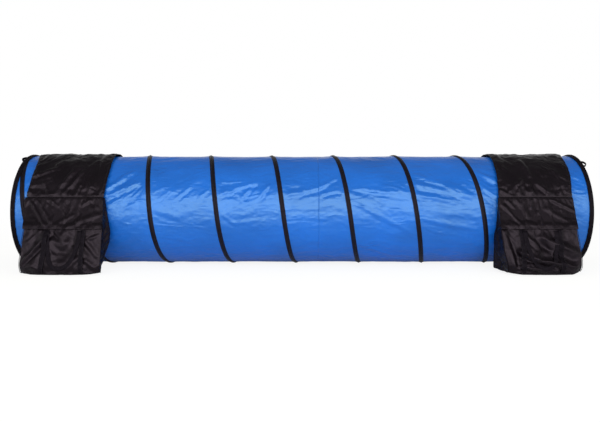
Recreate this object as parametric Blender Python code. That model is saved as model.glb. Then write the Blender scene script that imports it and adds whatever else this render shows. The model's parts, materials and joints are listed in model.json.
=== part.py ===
"""Dog agility tunnel, 3.05 m long and 0.61 m across, held down by two saddle bags.

Metres, +Z up. The origin is on the floor under the middle of the tunnel. +X runs along the
tunnel to its right mouth, and -Y is the front.

The tunnel is a fabric sleeve over one helical spring wire. For its joints the sleeve is cut
into stretches: fold stretches that close up lengthwise, and short bend stretches between them.
"""
import math

import bmesh
import bpy
from mathutils import Vector

# Tunnel rings
SIDES = 24
TURN = 2 * math.pi
HALF_LENGTH = 1.527
SLEEVE_RADIUS = 0.300
SLEEVE_WALL = 0.0015
BINDING_RADIUS = 0.3092
BINDING_INNER_RADIUS = 0.2955
BINDING_WIDTH = 0.030
BINDING_WALL = 0.0013
AXIS_Z = BINDING_RADIUS
CLEARANCE = 0.0003
MOUTH_GAP = 0.0012
WIRE_CORNERS = 6

# Stretches of the sleeve
MIDDLE_LENGTH = 2.10
BENDS = 5
FOLDS = BENDS + 1
BEND_LENGTH = 0.12
FOLD_LENGTH = (MIDDLE_LENGTH - BENDS * BEND_LENGTH) / FOLDS

# Spring wire and the tape sewn over it
WIRE_RADIUS = 0.0020
WIRE_RING_RADIUS = 0.3025
FIRST_FRONT_X = -1.457
THIRD_FRONT_X = -0.800
PITCH = 0.350
LEAN = 0.020
LEAN_FULL_AT = 2.0
LEAN_GONE_AT = 8.5
WIRE_STATIONS = (-4, 206)
TAPE_STATIONS = (-2, 204)
TAPE_WIDTH = 0.025
TAPE_CROWN_WIDTH = 0.008
TAPE_THICKNESS = 0.0008
TAPE_CROWN_RADIUS = 0.3057

# Mouth hoops
HOOP_RADIUS = 0.3040
HOOP_WIRE_RADIUS = 0.0022
HOOP_INSET = 0.0055
CRIMP_BORE_RADIUS = 0.0027
CRIMP_RADIUS = 0.0033
CRIMP_LENGTH = 0.022

# Closing loops at the mouths
LOOP_ANGLES = {"left": math.radians(68), "right": math.radians(57)}
LOOP_RING_RADIUS = 0.302
LOOP_SPAN = 0.042
LOOP_REACH = 0.020
LOOP_WIDTH = 0.012
LOOP_THICKNESS = 0.0016
LOOP_SEGMENTS = 10

# Saddle bags
BAG_WALL = 0.003
SADDLE_RADIUS = 0.3125
SADDLE_WALL = 0.0025
SADDLE_SEAM_STEP = 1
SADDLE_TOP_X = (1.050, 1.480)
SADDLE_SEAM_X = (1.020, 1.420)
POUCH_X = 1.2125
POUCH_HALF_WIDTH = 0.205
POUCH_BACK = 0.3125
POUCH_TOP_BACK = 0.3040
POUCH_TOP_OUT = 0.3140
POUCH_TOP_Z = 0.3860
POUCH_HIP_OUT = 0.3893
POUCH_HIP_Z = 0.2250
POUCH_FRONT = [(0.410, 0.150), (0.427, 0.085), (0.436, 0.045), (0.430, 0.012), (0.418, 0.0)]
POUCH_HEEL = [(0.325, 0.0), (POUCH_BACK, 0.010)]
POUCH_SHOULDER_Z = 0.330
MOUTH_TOP_Z = 0.378
MOUTH_LOW_Z = 0.262
CUT_PAST_FRONT = 0.012
SAND_HALF_WIDTH = 0.188
SAND_TOP_Z = 0.165
SAND_GAP = 0.009
SAND_BACK_GAP = 0.003
SAND_CHAMFER = 0.009
SAND_SHOULDER = 0.018
SEAM_AXIS = (0.3040, 0.3885)

# Flap, its closure, the handles and the straps
FLAP_HALF_WIDTH = 0.198
FLAP_TOP_Z = 0.383
FLAP_LOW_Z = 0.229
FLAP_GAP = 0.0036
FLAP_WALL = 0.0025
CLOSURE_HALF_WIDTH = 0.160
CLOSURE_Z = (0.236, 0.256)
CLOSURE_THICKNESS = 0.0012
HANDLE_AXIS = (0.397, 0.221)
HANDLE_FOOT = (0.445, 0.036)
HANDLE_HALF_SPAN = 0.072
HANDLE_STRAP_WIDTH = 0.022
HANDLE_THICKNESS = 0.0025
HANDLE_SEGMENTS = 14
STRAP_OFFSET = 0.097
STRAP_WIDTH = 0.025
STRAP_THICKNESS = 0.0015

# Colour, roughness and metallic value of each finish
BLUE_POLYESTER = ((0.016, 0.105, 0.58), 0.42, 0.0)
BLACK_WEBBING = ((0.010, 0.010, 0.014), 0.62, 0.0)
BLACK_POLYESTER = ((0.016, 0.013, 0.015), 0.50, 0.0)
BLACK_CLOSURE = ((0.008, 0.008, 0.008), 0.90, 0.0)
SAND_CANVAS = ((0.42, 0.33, 0.20), 0.85, 0.0)
SPRING_STEEL = ((0.55, 0.55, 0.56), 0.30, 1.0)


def clear_scene():
    """Remove whatever the new file holds."""
    for obj in list(bpy.data.objects):
        bpy.data.objects.remove(obj)


def finish_material(name, finish):
    """A Principled BSDF for one piece."""
    colour, roughness, metallic = finish
    material = bpy.data.materials.new(name + "_finish")
    material.use_nodes = True
    shader = material.node_tree.nodes["Principled BSDF"]
    shader.inputs["Base Color"].default_value = (*colour, 1.0)
    shader.inputs["Roughness"].default_value = roughness
    shader.inputs["Metallic"].default_value = metallic
    material.diffuse_color = (*colour, 1.0)
    return material


def make_object(name, bm, finish, origin=(0, 0, 0), parent=None, smooth=False):
    """Turn a bmesh, drawn in its parent's frame, into an object whose origin is on its joint."""
    origin = Vector(origin)
    bmesh.ops.recalc_face_normals(bm, faces=bm.faces)
    bmesh.ops.translate(bm, vec=-origin, verts=bm.verts)
    mesh = bpy.data.meshes.new(name)
    bm.to_mesh(mesh)
    bm.free()
    if smooth:
        mesh.shade_smooth()
        mesh.set_sharp_from_angle(angle=math.radians(40))
    obj = bpy.data.objects.new(name, mesh)
    bpy.context.scene.collection.objects.link(obj)
    obj.location = origin
    obj.parent = parent
    mesh.materials.append(finish_material(name, finish))
    return obj


def make_empty(name, location=(0, 0, 0), turn=0.0, parent=None):
    """A frame that pieces hang from."""
    empty = bpy.data.objects.new(name, None)
    bpy.context.scene.collection.objects.link(empty)
    empty.location = location
    empty.rotation_euler = (0, 0, turn)
    empty.parent = parent
    return empty


def ring_point(station, radius, x):
    """A corner of the tunnel's 24-sided ring. Station 0 is the front, and stations run down."""
    angle = -station * TURN / SIDES
    return Vector((x, -radius * math.cos(angle), AXIS_Z + radius * math.sin(angle)))


def lofted(loops):
    """A closed body through loops of equal length, with both ends capped."""
    bm = bmesh.new()
    rings = [[bm.verts.new(p) for p in loop] for loop in loops]
    for ring, following in zip(rings, rings[1:]):
        for i in range(len(ring)):
            j = (i + 1) % len(ring)
            bm.faces.new((ring[i], ring[j], following[j], following[i]))
    bm.faces.new(rings[0])
    bm.faces.new(rings[-1])
    return bm


def turned(profile):
    """A closed ring around the tunnel's axis from a closed profile of (x, radius) corners."""
    bm = bmesh.new()
    corners = [bm.verts.new(ring_point(0, radius, x)) for x, radius in profile]
    edges = [bm.edges.new((a, b)) for a, b in zip(corners, corners[1:] + corners[:1])]
    bmesh.ops.spin(
        bm,
        geom=corners + edges,
        cent=(0, 0, AXIS_Z),
        axis=(1, 0, 0),
        angle=TURN,
        steps=SIDES,
        use_merge=True,
    )
    return bm


def closed_tube(rings):
    """A closed ring-shaped body through rings of points, the last joined to the first."""
    bm = bmesh.new()
    corners = [[bm.verts.new(p) for p in ring] for ring in rings]
    for ring, following in zip(corners, corners[1:] + corners[:1]):
        for i in range(len(ring)):
            j = (i + 1) % len(ring)
            bm.faces.new((ring[i], ring[j], following[j], following[i]))
    return bm


def prism(outline, x_low, x_high):
    """A body with one outline of (out, z) corners all along X. Out is towards -Y."""
    bm = bmesh.new()
    face = bm.faces.new([bm.verts.new((x_low, -out, z)) for out, z in outline])
    swept = bmesh.ops.extrude_face_region(bm, geom=[face])["geom"]
    bmesh.ops.translate(
        bm,
        vec=(x_high - x_low, 0, 0),
        verts=[v for v in swept if isinstance(v, bmesh.types.BMVert)],
    )
    return bm


def offset_line(points, distance):
    """The line of (out, z) points moved outward, each corner along its mitre."""
    moved = []
    for i, point in enumerate(points):
        here = Vector(point)
        before = here - Vector(points[max(i - 1, 0)])
        after = Vector(points[min(i + 1, len(points) - 1)]) - here
        normals = [Vector((-d.y, d.x)).normalized() for d in (before, after) if d.length > 0]
        mitre = sum(normals, Vector((0, 0))).normalized()
        moved.append(tuple(here + mitre * (distance / mitre.dot(normals[0]))))
    return moved


def band(points, near, far):
    """The outline of a strip that follows a line, from one distance off it to another."""
    return offset_line(points, near) + offset_line(points, far)[::-1]


def sleeve(name, x_low, x_high, origin_x):
    """One stretch of the fabric sleeve."""
    low, high = x_low + CLEARANCE / 2, x_high - CLEARANCE / 2
    inner = SLEEVE_RADIUS - SLEEVE_WALL
    profile = [(low, inner), (high, inner), (high, SLEEVE_RADIUS), (low, SLEEVE_RADIUS)]
    make_object(name, turned(profile), BLUE_POLYESTER, (origin_x, 0, AXIS_Z), smooth=True)


def sleeves():
    """The whole sleeve: two ends, six fold stretches and five bend stretches."""
    inner_end = MIDDLE_LENGTH / 2
    mouth = HALF_LENGTH - BINDING_WALL - MOUTH_GAP
    sleeve("sleeve_left_end", -mouth, -inner_end, -inner_end)
    sleeve("sleeve_right_end", inner_end, mouth, inner_end)
    x = -inner_end
    for number in range(1, FOLDS + 1):
        sleeve(f"sleeve_fold_{number}", x, x + FOLD_LENGTH, x)
        x += FOLD_LENGTH
        if number <= BENDS:
            sleeve(f"sleeve_bend_{number}", x, x + BEND_LENGTH, x + BEND_LENGTH / 2)
            x += BEND_LENGTH


def lean(station):
    """How far a turn of the spiral leans: its top is moved to the right and its bottom to the left."""
    turns = station / SIDES
    growing = min(max(turns / LEAN_FULL_AT, 0), 1)
    fading = min((LEAN_GONE_AT - turns) / (LEAN_GONE_AT - LEAN_FULL_AT), 1)
    return LEAN * growing * max(fading, 0) * math.sin(-station * TURN / SIDES)


def helix_x(station):
    """Where the spring wire is along the tunnel. The two turns at the left mouth are closer."""
    turns = station / SIDES
    if turns < 2:
        return FIRST_FRONT_X + turns * (THIRD_FRONT_X - FIRST_FRONT_X) / 2 + lean(station)
    return THIRD_FRONT_X + (turns - 2) * PITCH + lean(station)


def helix(section, stations):
    """A section of (x, radius) corners swept along the helix."""
    return lofted(
        [
            [ring_point(k, radius, helix_x(k) + x) for x, radius in section]
            for k in range(stations[0], stations[1] + 1)
        ]
    )


def round_section(radius, centre_x, centre_radius):
    """The six corners of a wire's section, as (x, radius)."""
    angles = [i * TURN / WIRE_CORNERS for i in range(WIRE_CORNERS)]
    return [(centre_x + radius * math.cos(a), centre_radius + radius * math.sin(a)) for a in angles]


def spring_wire():
    """The continuous helical wire that holds the sleeve open."""
    section = round_section(WIRE_RADIUS, 0, WIRE_RING_RADIUS)
    make_object("spring_wire", helix(section, WIRE_STATIONS), SPRING_STEEL, smooth=True)


def spiral_tape():
    """The webbing tape that covers the wire, flat at its edges and raised over the wire."""
    edge = SLEEVE_RADIUS + CLEARANCE
    half = TAPE_WIDTH / 2
    crown = TAPE_CROWN_WIDTH / 2
    under = TAPE_CROWN_RADIUS - TAPE_THICKNESS
    section = [
        (-half, edge),
        (-crown, edge),
        (-crown + TAPE_THICKNESS, under),
        (crown - TAPE_THICKNESS, under),
        (crown, edge),
        (half, edge),
        (crown, TAPE_CROWN_RADIUS),
        (-crown, TAPE_CROWN_RADIUS),
    ]
    make_object("spiral_tape", helix(section, TAPE_STATIONS), BLACK_WEBBING, smooth=True)


def mouth_binding(side, sign):
    """The folded tape around a mouth: an outer and an inner flange joined at the mouth's edge."""
    face = sign * HALF_LENGTH
    web = face - sign * BINDING_WALL
    edge = face - sign * BINDING_WIDTH
    inner = BINDING_INNER_RADIUS
    outer = BINDING_RADIUS
    profile = [
        (face, inner),
        (edge, inner),
        (edge, inner + BINDING_WALL),
        (web, inner + BINDING_WALL),
        (web, outer - BINDING_WALL),
        (edge, outer - BINDING_WALL),
        (edge, outer),
        (face, outer),
    ]
    origin = (face, 0, AXIS_Z)
    make_object(f"{side}_mouth_binding", turned(profile), BLACK_WEBBING, origin, smooth=True)


def mouth_hoop(side, sign):
    """The wire ring inside a mouth's binding."""
    x = sign * (HALF_LENGTH - HOOP_INSET)
    profile = round_section(HOOP_WIRE_RADIUS, x, HOOP_RADIUS)
    make_object(f"{side}_mouth_hoop", turned(profile), SPRING_STEEL, (x, 0, AXIS_Z), smooth=True)


def hoop_crimp(side, sign):
    """The short sleeve that holds the two ends of a hoop's wire together, on the hoop's rear."""
    x = sign * (HALF_LENGTH - HOOP_INSET)
    start = ring_point(SIDES // 2, HOOP_RADIUS, x)
    end = ring_point(SIDES // 2 + 1, HOOP_RADIUS, x)
    along = (end - start).normalized()
    middle = (start + end) / 2
    across = Vector((1, 0, 0))
    out = along.cross(across)
    rings = []
    for radius, ahead in (
        (CRIMP_RADIUS, -1),
        (CRIMP_RADIUS, 1),
        (CRIMP_BORE_RADIUS, 1),
        (CRIMP_BORE_RADIUS, -1),
    ):
        centre = middle + along * ahead * CRIMP_LENGTH / 2
        rings.append([centre + across * u + out * v for u, v in round_section(radius, 0, 0)])
    make_object(f"{side}_hoop_crimp", closed_tube(rings), SPRING_STEEL, (x, 0, AXIS_Z))


def closing_loop(side, sign):
    """The webbing arch sewn to a mouth's edge, for the tie that keeps the folded tunnel shut."""
    angle = LOOP_ANGLES[side]
    out = Vector((0, -math.cos(angle), math.sin(angle)))
    along = Vector((0, math.sin(angle), math.cos(angle)))
    away = Vector((sign, 0, 0))
    foot = out * LOOP_RING_RADIUS + away * (HALF_LENGTH + CLEARANCE) + Vector((0, 0, AXIS_Z))
    loops = []
    for i in range(LOOP_SEGMENTS + 1):
        turn = math.pi * i / LOOP_SEGMENTS
        cos, sin = math.cos(turn), math.sin(turn)
        loops.append(
            [
                foot
                + along * cos * (LOOP_SPAN / 2 - depth)
                + away * sin * (LOOP_REACH - depth)
                + out * across
                for depth, across in (
                    (0, -LOOP_WIDTH / 2),
                    (0, LOOP_WIDTH / 2),
                    (LOOP_THICKNESS, LOOP_WIDTH / 2),
                    (LOOP_THICKNESS, -LOOP_WIDTH / 2),
                )
            ]
        )
    make_object(f"{side}_closing_loop", lofted(loops), BLACK_WEBBING, foot)


def saddle_panel(side, sign):
    """The panel over the tunnel that carries both pouches. It is wider at the top."""
    first = SADDLE_SEAM_STEP
    last = SIDES // 2 - SADDLE_SEAM_STEP
    middle = (first + last) / 2
    loops = []
    for step in range(first, last + 1):
        rise = 1 - abs(step - middle) / (middle - first)
        near, far = (a + (b - a) * rise for a, b in zip(SADDLE_SEAM_X, SADDLE_TOP_X))
        loops.append(
            [
                ring_point(-step, radius, sign * x)
                for x, radius in (
                    (near, SADDLE_RADIUS),
                    (far, SADDLE_RADIUS),
                    (far, SADDLE_RADIUS + SADDLE_WALL),
                    (near, SADDLE_RADIUS + SADDLE_WALL),
                )
            ]
        )
    origin = (sign * POUCH_X, 0, AXIS_Z)
    make_object(f"{side}_saddle_panel", lofted(loops), BLACK_POLYESTER, origin, smooth=True)


def front_line(z_high, z_low):
    """The straight upper front of a pouch between two heights."""
    slope = (POUCH_HIP_OUT - POUCH_TOP_OUT) / (POUCH_TOP_Z - POUCH_HIP_Z)
    return [(POUCH_TOP_OUT + slope * (POUCH_TOP_Z - z), z) for z in (z_high, z_low)]


def pouch(prefix, frame):
    """The hollow pouch, open below the seam under its flap."""
    front = [(POUCH_TOP_OUT, POUCH_TOP_Z), (POUCH_HIP_OUT, POUCH_HIP_Z)] + POUCH_FRONT
    back = [(POUCH_BACK, POUCH_SHOULDER_Z), (POUCH_TOP_BACK, POUCH_TOP_Z)]
    width = POUCH_HALF_WIDTH
    body = make_object(
        f"{prefix}_pouch",
        prism(front + POUCH_HEEL + back, -width, width),
        BLACK_POLYESTER,
        (0, -SEAM_AXIS[0], SEAM_AXIS[1]),
        frame,
    )
    inner_front = offset_line(front[1:-1], -BAG_WALL)
    lip = offset_line(front_line(POUCH_TOP_Z, MOUTH_LOW_Z), -BAG_WALL)[1]
    outside = offset_line(front_line(MOUTH_TOP_Z, MOUTH_LOW_Z), CUT_PAST_FRONT)
    cavity = (
        [(outside[0][0], MOUTH_TOP_Z), (outside[1][0], MOUTH_LOW_Z), (lip[0], MOUTH_LOW_Z)]
        + inner_front
        + [(POUCH_FRONT[-1][0], BAG_WALL), (POUCH_HEEL[0][0], BAG_WALL)]
        + [(POUCH_BACK + BAG_WALL, POUCH_HEEL[1][1]), (POUCH_BACK + BAG_WALL, POUCH_SHOULDER_Z)]
        + [(POUCH_TOP_BACK + 2 * BAG_WALL, MOUTH_TOP_Z)]
    )
    inside = width - BAG_WALL
    hollow = prism(cavity, -inside, inside)
    cutter = make_object(f"{prefix}_pouch_cavity", hollow, BLACK_POLYESTER, parent=frame)
    cutter.hide_render = True
    cutter.display_type = "WIRE"
    cut = body.modifiers.new("cavity", "BOOLEAN")
    cut.operation = "DIFFERENCE"
    cut.object = cutter


def sand_bag(prefix, frame):
    """The filled liner that gives a pouch its weight."""
    front = offset_line([(POUCH_HIP_OUT, POUCH_HIP_Z)] + POUCH_FRONT, -SAND_GAP)[1:-1]
    back = POUCH_BACK + BAG_WALL + SAND_BACK_GAP
    floor = BAG_WALL + SAND_BACK_GAP
    outline = (
        [(front[0][0] - SAND_SHOULDER, SAND_TOP_Z)]
        + front
        + [(POUCH_FRONT[-1][0] - SAND_GAP, floor), (back + SAND_CHAMFER, floor)]
        + [(back, floor + SAND_CHAMFER), (back, SAND_TOP_Z - SAND_CHAMFER)]
        + [(back + SAND_CHAMFER, SAND_TOP_Z)]
    )
    bm = prism(outline, -SAND_HALF_WIDTH, SAND_HALF_WIDTH)
    make_object(f"{prefix}_sand_bag", bm, SAND_CANVAS, (0, -SEAM_AXIS[0], SEAM_AXIS[1]), frame)


def pouch_strap(prefix, frame, number, offset):
    """One webbing strap sewn down the front of a pouch."""
    line = [(POUCH_HIP_OUT, POUCH_HIP_Z)] + POUCH_FRONT[:-1]
    outline = band(line, CLEARANCE, CLEARANCE + STRAP_THICKNESS)
    bm = prism(outline, offset - STRAP_WIDTH / 2, offset + STRAP_WIDTH / 2)
    make_object(f"{prefix}_strap_{number}", bm, BLACK_WEBBING, parent=frame)


def closure_strips(prefix, frame, flap_axis):
    """The hook strip on the pouch, and the loop strip that faces it inside the flap."""
    line = front_line(CLOSURE_Z[1], CLOSURE_Z[0])
    width = CLOSURE_HALF_WIDTH
    hook = prism(band(line, CLEARANCE, CLEARANCE + CLOSURE_THICKNESS), -width, width)
    make_object(f"{prefix}_hook_strip", hook, BLACK_CLOSURE, parent=frame)
    far = FLAP_GAP - CLEARANCE
    loop = prism(band(line, far - CLOSURE_THICKNESS, far), -width, width)
    make_object(f"{prefix}_loop_strip", loop, BLACK_CLOSURE, flap_axis, frame)


def flap(prefix, frame, flap_axis):
    """The flap over a pouch's mouth, hinged at the seam."""
    line = front_line(FLAP_TOP_Z, FLAP_LOW_Z)
    outline = band(line, FLAP_GAP, FLAP_GAP + FLAP_WALL)
    bm = prism(outline, -FLAP_HALF_WIDTH, FLAP_HALF_WIDTH)
    make_object(f"{prefix}_flap", bm, BLACK_POLYESTER, flap_axis, frame)


def handle(prefix, frame):
    """The webbing carrying handle, which hangs from its two sewn ends."""
    axis = Vector((0, -HANDLE_AXIS[0], HANDLE_AXIS[1]))
    foot = Vector((0, -HANDLE_FOOT[0], HANDLE_FOOT[1]))
    reach = (foot - axis).length
    down = (foot - axis).normalized()
    normal = down.cross(Vector((1, 0, 0))).normalized()
    loops = []
    for i in range(HANDLE_SEGMENTS + 1):
        turn = math.pi * i / HANDLE_SEGMENTS
        centre = Vector((HANDLE_HALF_SPAN * math.cos(turn), reach * math.sin(turn)))
        tangent = Vector((-HANDLE_HALF_SPAN * math.sin(turn), reach * math.cos(turn))).normalized()
        side = Vector((tangent.y, -tangent.x))
        corners = []
        for across, thick in ((-1, -1), (1, -1), (1, 1), (-1, 1)):
            flat = centre + side * across * HANDLE_STRAP_WIDTH / 2
            corners.append(
                axis
                + Vector((flat.x, 0, 0))
                + down * max(flat.y, 0.0)
                + normal * thick * HANDLE_THICKNESS / 2
            )
        loops.append(corners)
    make_object(f"{prefix}_handle", lofted(loops), BLACK_WEBBING, axis, frame)


def bag(side, sign):
    """One saddle bag: the panel over the tunnel, and a pouch on the front and on the rear."""
    saddle_panel(side, sign)
    for face, turn in (("front", 0.0), ("rear", math.pi)):
        prefix = f"{side}_{face}"
        frame = make_empty(f"{prefix}_frame", (sign * POUCH_X, 0, 0), turn)
        top_out = front_line(FLAP_TOP_Z, FLAP_LOW_Z)[0][0]
        flap_axis = (0, -top_out - FLAP_GAP - FLAP_WALL / 2, FLAP_TOP_Z)
        pouch(prefix, frame)
        sand_bag(prefix, frame)
        pouch_strap(prefix, frame, 1, -STRAP_OFFSET)
        pouch_strap(prefix, frame, 2, STRAP_OFFSET)
        closure_strips(prefix, frame, flap_axis)
        flap(prefix, frame, flap_axis)
        handle(prefix, frame)


def main():
    clear_scene()
    sleeves()
    spring_wire()
    spiral_tape()
    for side, sign in (("left", -1), ("right", 1)):
        mouth_binding(side, sign)
        mouth_hoop(side, sign)
        hoop_crimp(side, sign)
        closing_loop(side, sign)
        bag(side, sign)


main()
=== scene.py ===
import functools
import json
import math

import bmesh
import bpy
import numpy as np
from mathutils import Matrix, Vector
from mathutils.bvhtree import BVHTree

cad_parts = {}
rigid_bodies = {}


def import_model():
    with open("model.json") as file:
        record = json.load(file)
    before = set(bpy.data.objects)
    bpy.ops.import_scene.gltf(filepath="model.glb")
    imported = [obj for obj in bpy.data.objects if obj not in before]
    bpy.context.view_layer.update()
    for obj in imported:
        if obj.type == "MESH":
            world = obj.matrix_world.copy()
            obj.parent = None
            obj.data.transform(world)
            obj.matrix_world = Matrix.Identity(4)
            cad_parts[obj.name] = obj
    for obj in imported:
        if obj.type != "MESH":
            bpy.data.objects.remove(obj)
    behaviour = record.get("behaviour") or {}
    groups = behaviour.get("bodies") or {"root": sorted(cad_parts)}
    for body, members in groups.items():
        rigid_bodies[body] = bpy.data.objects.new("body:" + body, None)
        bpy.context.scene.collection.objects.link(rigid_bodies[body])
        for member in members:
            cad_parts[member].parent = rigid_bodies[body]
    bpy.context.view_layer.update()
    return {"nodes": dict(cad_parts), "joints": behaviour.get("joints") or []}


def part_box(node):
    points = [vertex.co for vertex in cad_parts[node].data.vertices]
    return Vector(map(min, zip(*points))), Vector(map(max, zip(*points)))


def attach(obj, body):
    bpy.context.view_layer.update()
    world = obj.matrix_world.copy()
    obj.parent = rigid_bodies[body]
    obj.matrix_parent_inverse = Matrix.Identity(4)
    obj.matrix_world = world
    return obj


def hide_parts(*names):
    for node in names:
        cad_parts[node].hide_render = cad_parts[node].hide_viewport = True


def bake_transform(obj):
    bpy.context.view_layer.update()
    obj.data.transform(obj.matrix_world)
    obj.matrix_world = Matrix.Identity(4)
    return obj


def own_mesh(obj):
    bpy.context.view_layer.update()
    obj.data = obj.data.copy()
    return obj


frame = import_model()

bl_info = {
    "name": "Dog Agility Tunnel",
    "version": (1, 0, 0),
    "blender": (4, 5, 0),
    "location": "3D View > Sidebar > Tunnel",
    "description": "Dresses a spiral-wire fabric tunnel and its two saddle bags",
    "category": "Object",
}

TURN = 2 * math.pi
SIDES = ("left", "right")
FACES = ("front", "rear")
WHITE = (1.0, 1.0, 1.0, 1.0)

# The length of a wave texture's wave at scale 1, and a place beyond every piece, in metres
WAVE_PERIOD = math.pi / 10
FAR_OFF = 9.0

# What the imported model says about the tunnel
SLEEVE_LOW, SLEEVE_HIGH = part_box("sleeve_fold_1")
BINDING_LOW, BINDING_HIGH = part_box("left_mouth_binding")
AXIS_Z = (SLEEVE_LOW.z + SLEEVE_HIGH.z) / 2
SLEEVE_RADIUS = (SLEEVE_HIGH.z - SLEEVE_LOW.z) / 2
BINDING_RADIUS = (BINDING_HIGH.z - BINDING_LOW.z) / 2
BINDING_WIDTH = BINDING_HIGH.x - BINDING_LOW.x
MOUTH_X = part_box("right_mouth_binding")[1].x
GIRTH = TURN * SLEEVE_RADIUS

# Where the tape ends inside a mouth's binding
TAPE_END = MOUTH_X - 0.010


def stretches_of(joints):
    """The sleeve's stretches from left to right: name, bodies, joint, and where each starts and ends."""
    by_name = {joint["name"]: joint for joint in joints}
    found = [("left_end", ("left_end",), None)]
    folds = sum(name.startswith("fold_") for name in by_name)
    for number in range(1, folds + 1):
        fold = by_name[f"fold_{number}"]
        found.append((f"fold_{number}", (fold["parent"],), fold["name"]))
        if f"bend_{number}" in by_name:
            bend = by_name[f"bend_{number}"]
            found.append((f"bend_{number}", (bend["parent"], bend["child"]), None))
    found.append(("right_end", ("right_end",), None))
    boxes = [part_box(f"sleeve_{name}") for name, _, _ in found]
    cuts = [(a[1].x + b[0].x) / 2 for a, b in zip(boxes, boxes[1:])]
    edges = [boxes[0][0].x] + cuts + [boxes[-1][1].x]
    return [(*found[i], edges[i], edges[i + 1]) for i in range(len(found))]


STRETCHES = stretches_of(frame["joints"])


# Settings

class TunnelSizes(bpy.types.PropertyGroup):
    """Sizes of the sleeve, its spiral and its mouths."""

    first_front: bpy.props.FloatProperty(
        name="First crossing", description="Where the spiral first crosses the front, from the middle",
        default=-1.457, unit="LENGTH")
    third_front: bpy.props.FloatProperty(
        name="Third crossing", description="Where the spiral crosses the front for the third time",
        default=-0.800, unit="LENGTH")
    pitch: bpy.props.FloatProperty(
        name="Pitch", description="Distance between turns of the spiral", default=0.350, unit="LENGTH")
    lean: bpy.props.FloatProperty(
        name="Lean", description="How far the third turn's top is moved to the right", default=0.020,
        unit="LENGTH")
    first_turn: bpy.props.FloatProperty(
        name="First turn", description="Where the tape starts, in turns from its first crossing",
        default=-0.190)
    last_turn: bpy.props.FloatProperty(
        name="Last turn", description="Where the tape ends, in turns", default=8.650)
    tape_width: bpy.props.FloatProperty(
        name="Tape width", description="Width of the webbing over the wire", default=0.025, unit="LENGTH")
    tape_thickness: bpy.props.FloatProperty(
        name="Tape thickness", description="Thickness of the webbing", default=0.0011, unit="LENGTH")
    wire_radius: bpy.props.FloatProperty(
        name="Wire radius", description="Radius of the spring wire", default=0.0019, unit="LENGTH")
    wire_ring: bpy.props.FloatProperty(
        name="Wire ring", description="Radius of the spring wire's turns", default=0.3025, unit="LENGTH")
    wobble: bpy.props.FloatProperty(
        name="Wobble", description="How far the turns are out of round", default=0.0014, unit="LENGTH")
    sag: bpy.props.FloatProperty(
        name="Sag", description="How far the cloth sinks between turns", default=0.0026, unit="LENGTH")
    crease: bpy.props.FloatProperty(
        name="Crease", description="Height of the sleeve's long folds", default=0.0030, unit="LENGTH")
    cloth: bpy.props.FloatProperty(
        name="Cloth", description="Thickness of the sleeve's cloth", default=0.0008, unit="LENGTH")
    binding: bpy.props.FloatProperty(
        name="Binding", description="Width of the tape round a mouth", default=0.022, unit="LENGTH")
    seam: bpy.props.FloatProperty(
        name="Seam", description="Where two lengths of cloth are sewn together, from the middle",
        default=0.0885, unit="LENGTH")


class BagSizes(bpy.types.PropertyGroup):
    """Sizes of the saddle bags."""

    cloth: bpy.props.FloatProperty(
        name="Cloth", description="Thickness of the bags' cloth", default=0.0012, unit="LENGTH")
    strap_width: bpy.props.FloatProperty(
        name="Strap width", description="Width of the webbing on a pouch", default=0.025, unit="LENGTH")
    strap_thickness: bpy.props.FloatProperty(
        name="Strap thickness", description="Thickness of the webbing on a pouch", default=0.0014,
        unit="LENGTH")
    handle_width: bpy.props.FloatProperty(
        name="Handle width", description="Width of a handle's webbing", default=0.022, unit="LENGTH")
    stitch_pitch: bpy.props.FloatProperty(
        name="Stitch pitch", description="Distance between stitches", default=0.006, unit="LENGTH")
    stitch_length: bpy.props.FloatProperty(
        name="Stitch length", description="Length of one stitch", default=0.0042, unit="LENGTH")
    thread: bpy.props.FloatProperty(
        name="Thread", description="Thickness of the sewing thread", default=0.0008, unit="LENGTH")


class TunnelColours(bpy.types.PropertyGroup):
    """Colours of the cloths, webbing and wire."""

    sleeve: bpy.props.FloatVectorProperty(
        name="Sleeve", description="Blue of the sleeve", default=(0.004, 0.124, 0.560), subtype="COLOR",
        min=0, max=1)
    bag: bpy.props.FloatVectorProperty(
        name="Bag", description="Black of the bags' cloth", default=(0.0038, 0.0026, 0.0037),
        subtype="COLOR", min=0, max=1)
    webbing: bpy.props.FloatVectorProperty(
        name="Webbing", description="Black of the tapes, straps and handles",
        default=(0.0046, 0.0036, 0.0050), subtype="COLOR", min=0, max=1)
    steel: bpy.props.FloatVectorProperty(
        name="Steel", description="Grey of the spring wire", default=(0.55, 0.55, 0.56), subtype="COLOR",
        min=0, max=1)
    liner: bpy.props.FloatVectorProperty(
        name="Liner", description="Canvas of the sand liners", default=(0.42, 0.33, 0.20), subtype="COLOR",
        min=0, max=1)


class StageSettings(bpy.types.PropertyGroup):
    """The camera's place and the lamps."""

    camera_x: bpy.props.FloatProperty(
        name="Camera X", description="Where the camera stands along the tunnel", default=-0.011,
        unit="LENGTH")
    camera_back: bpy.props.FloatProperty(
        name="Camera distance", description="From the tunnel's axis to the camera", default=3.60,
        unit="LENGTH")
    camera_height: bpy.props.FloatProperty(
        name="Camera height", description="Height of the camera above the floor", default=0.53,
        unit="LENGTH")
    lens: bpy.props.FloatProperty(
        name="Lens", description="Focal length in millimetres", default=37.8)
    rise: bpy.props.FloatProperty(
        name="Rise", description="How far the view is shifted down, as a share of its width",
        default=-0.0683)
    key: bpy.props.FloatProperty(
        name="Key", description="Power of the front lamp in watts", default=178.0)
    top: bpy.props.FloatProperty(
        name="Top", description="Power of the overhead lamp in watts", default=4.0)
    fill: bpy.props.FloatProperty(
        name="Fill", description="Strength of the world's light", default=0.47)


# Noise and cloth fields

def eased(t):
    """A smooth step from 0 to 1."""
    t = np.clip(t, 0, 1)
    return t * t * (3 - 2 * t)


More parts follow.
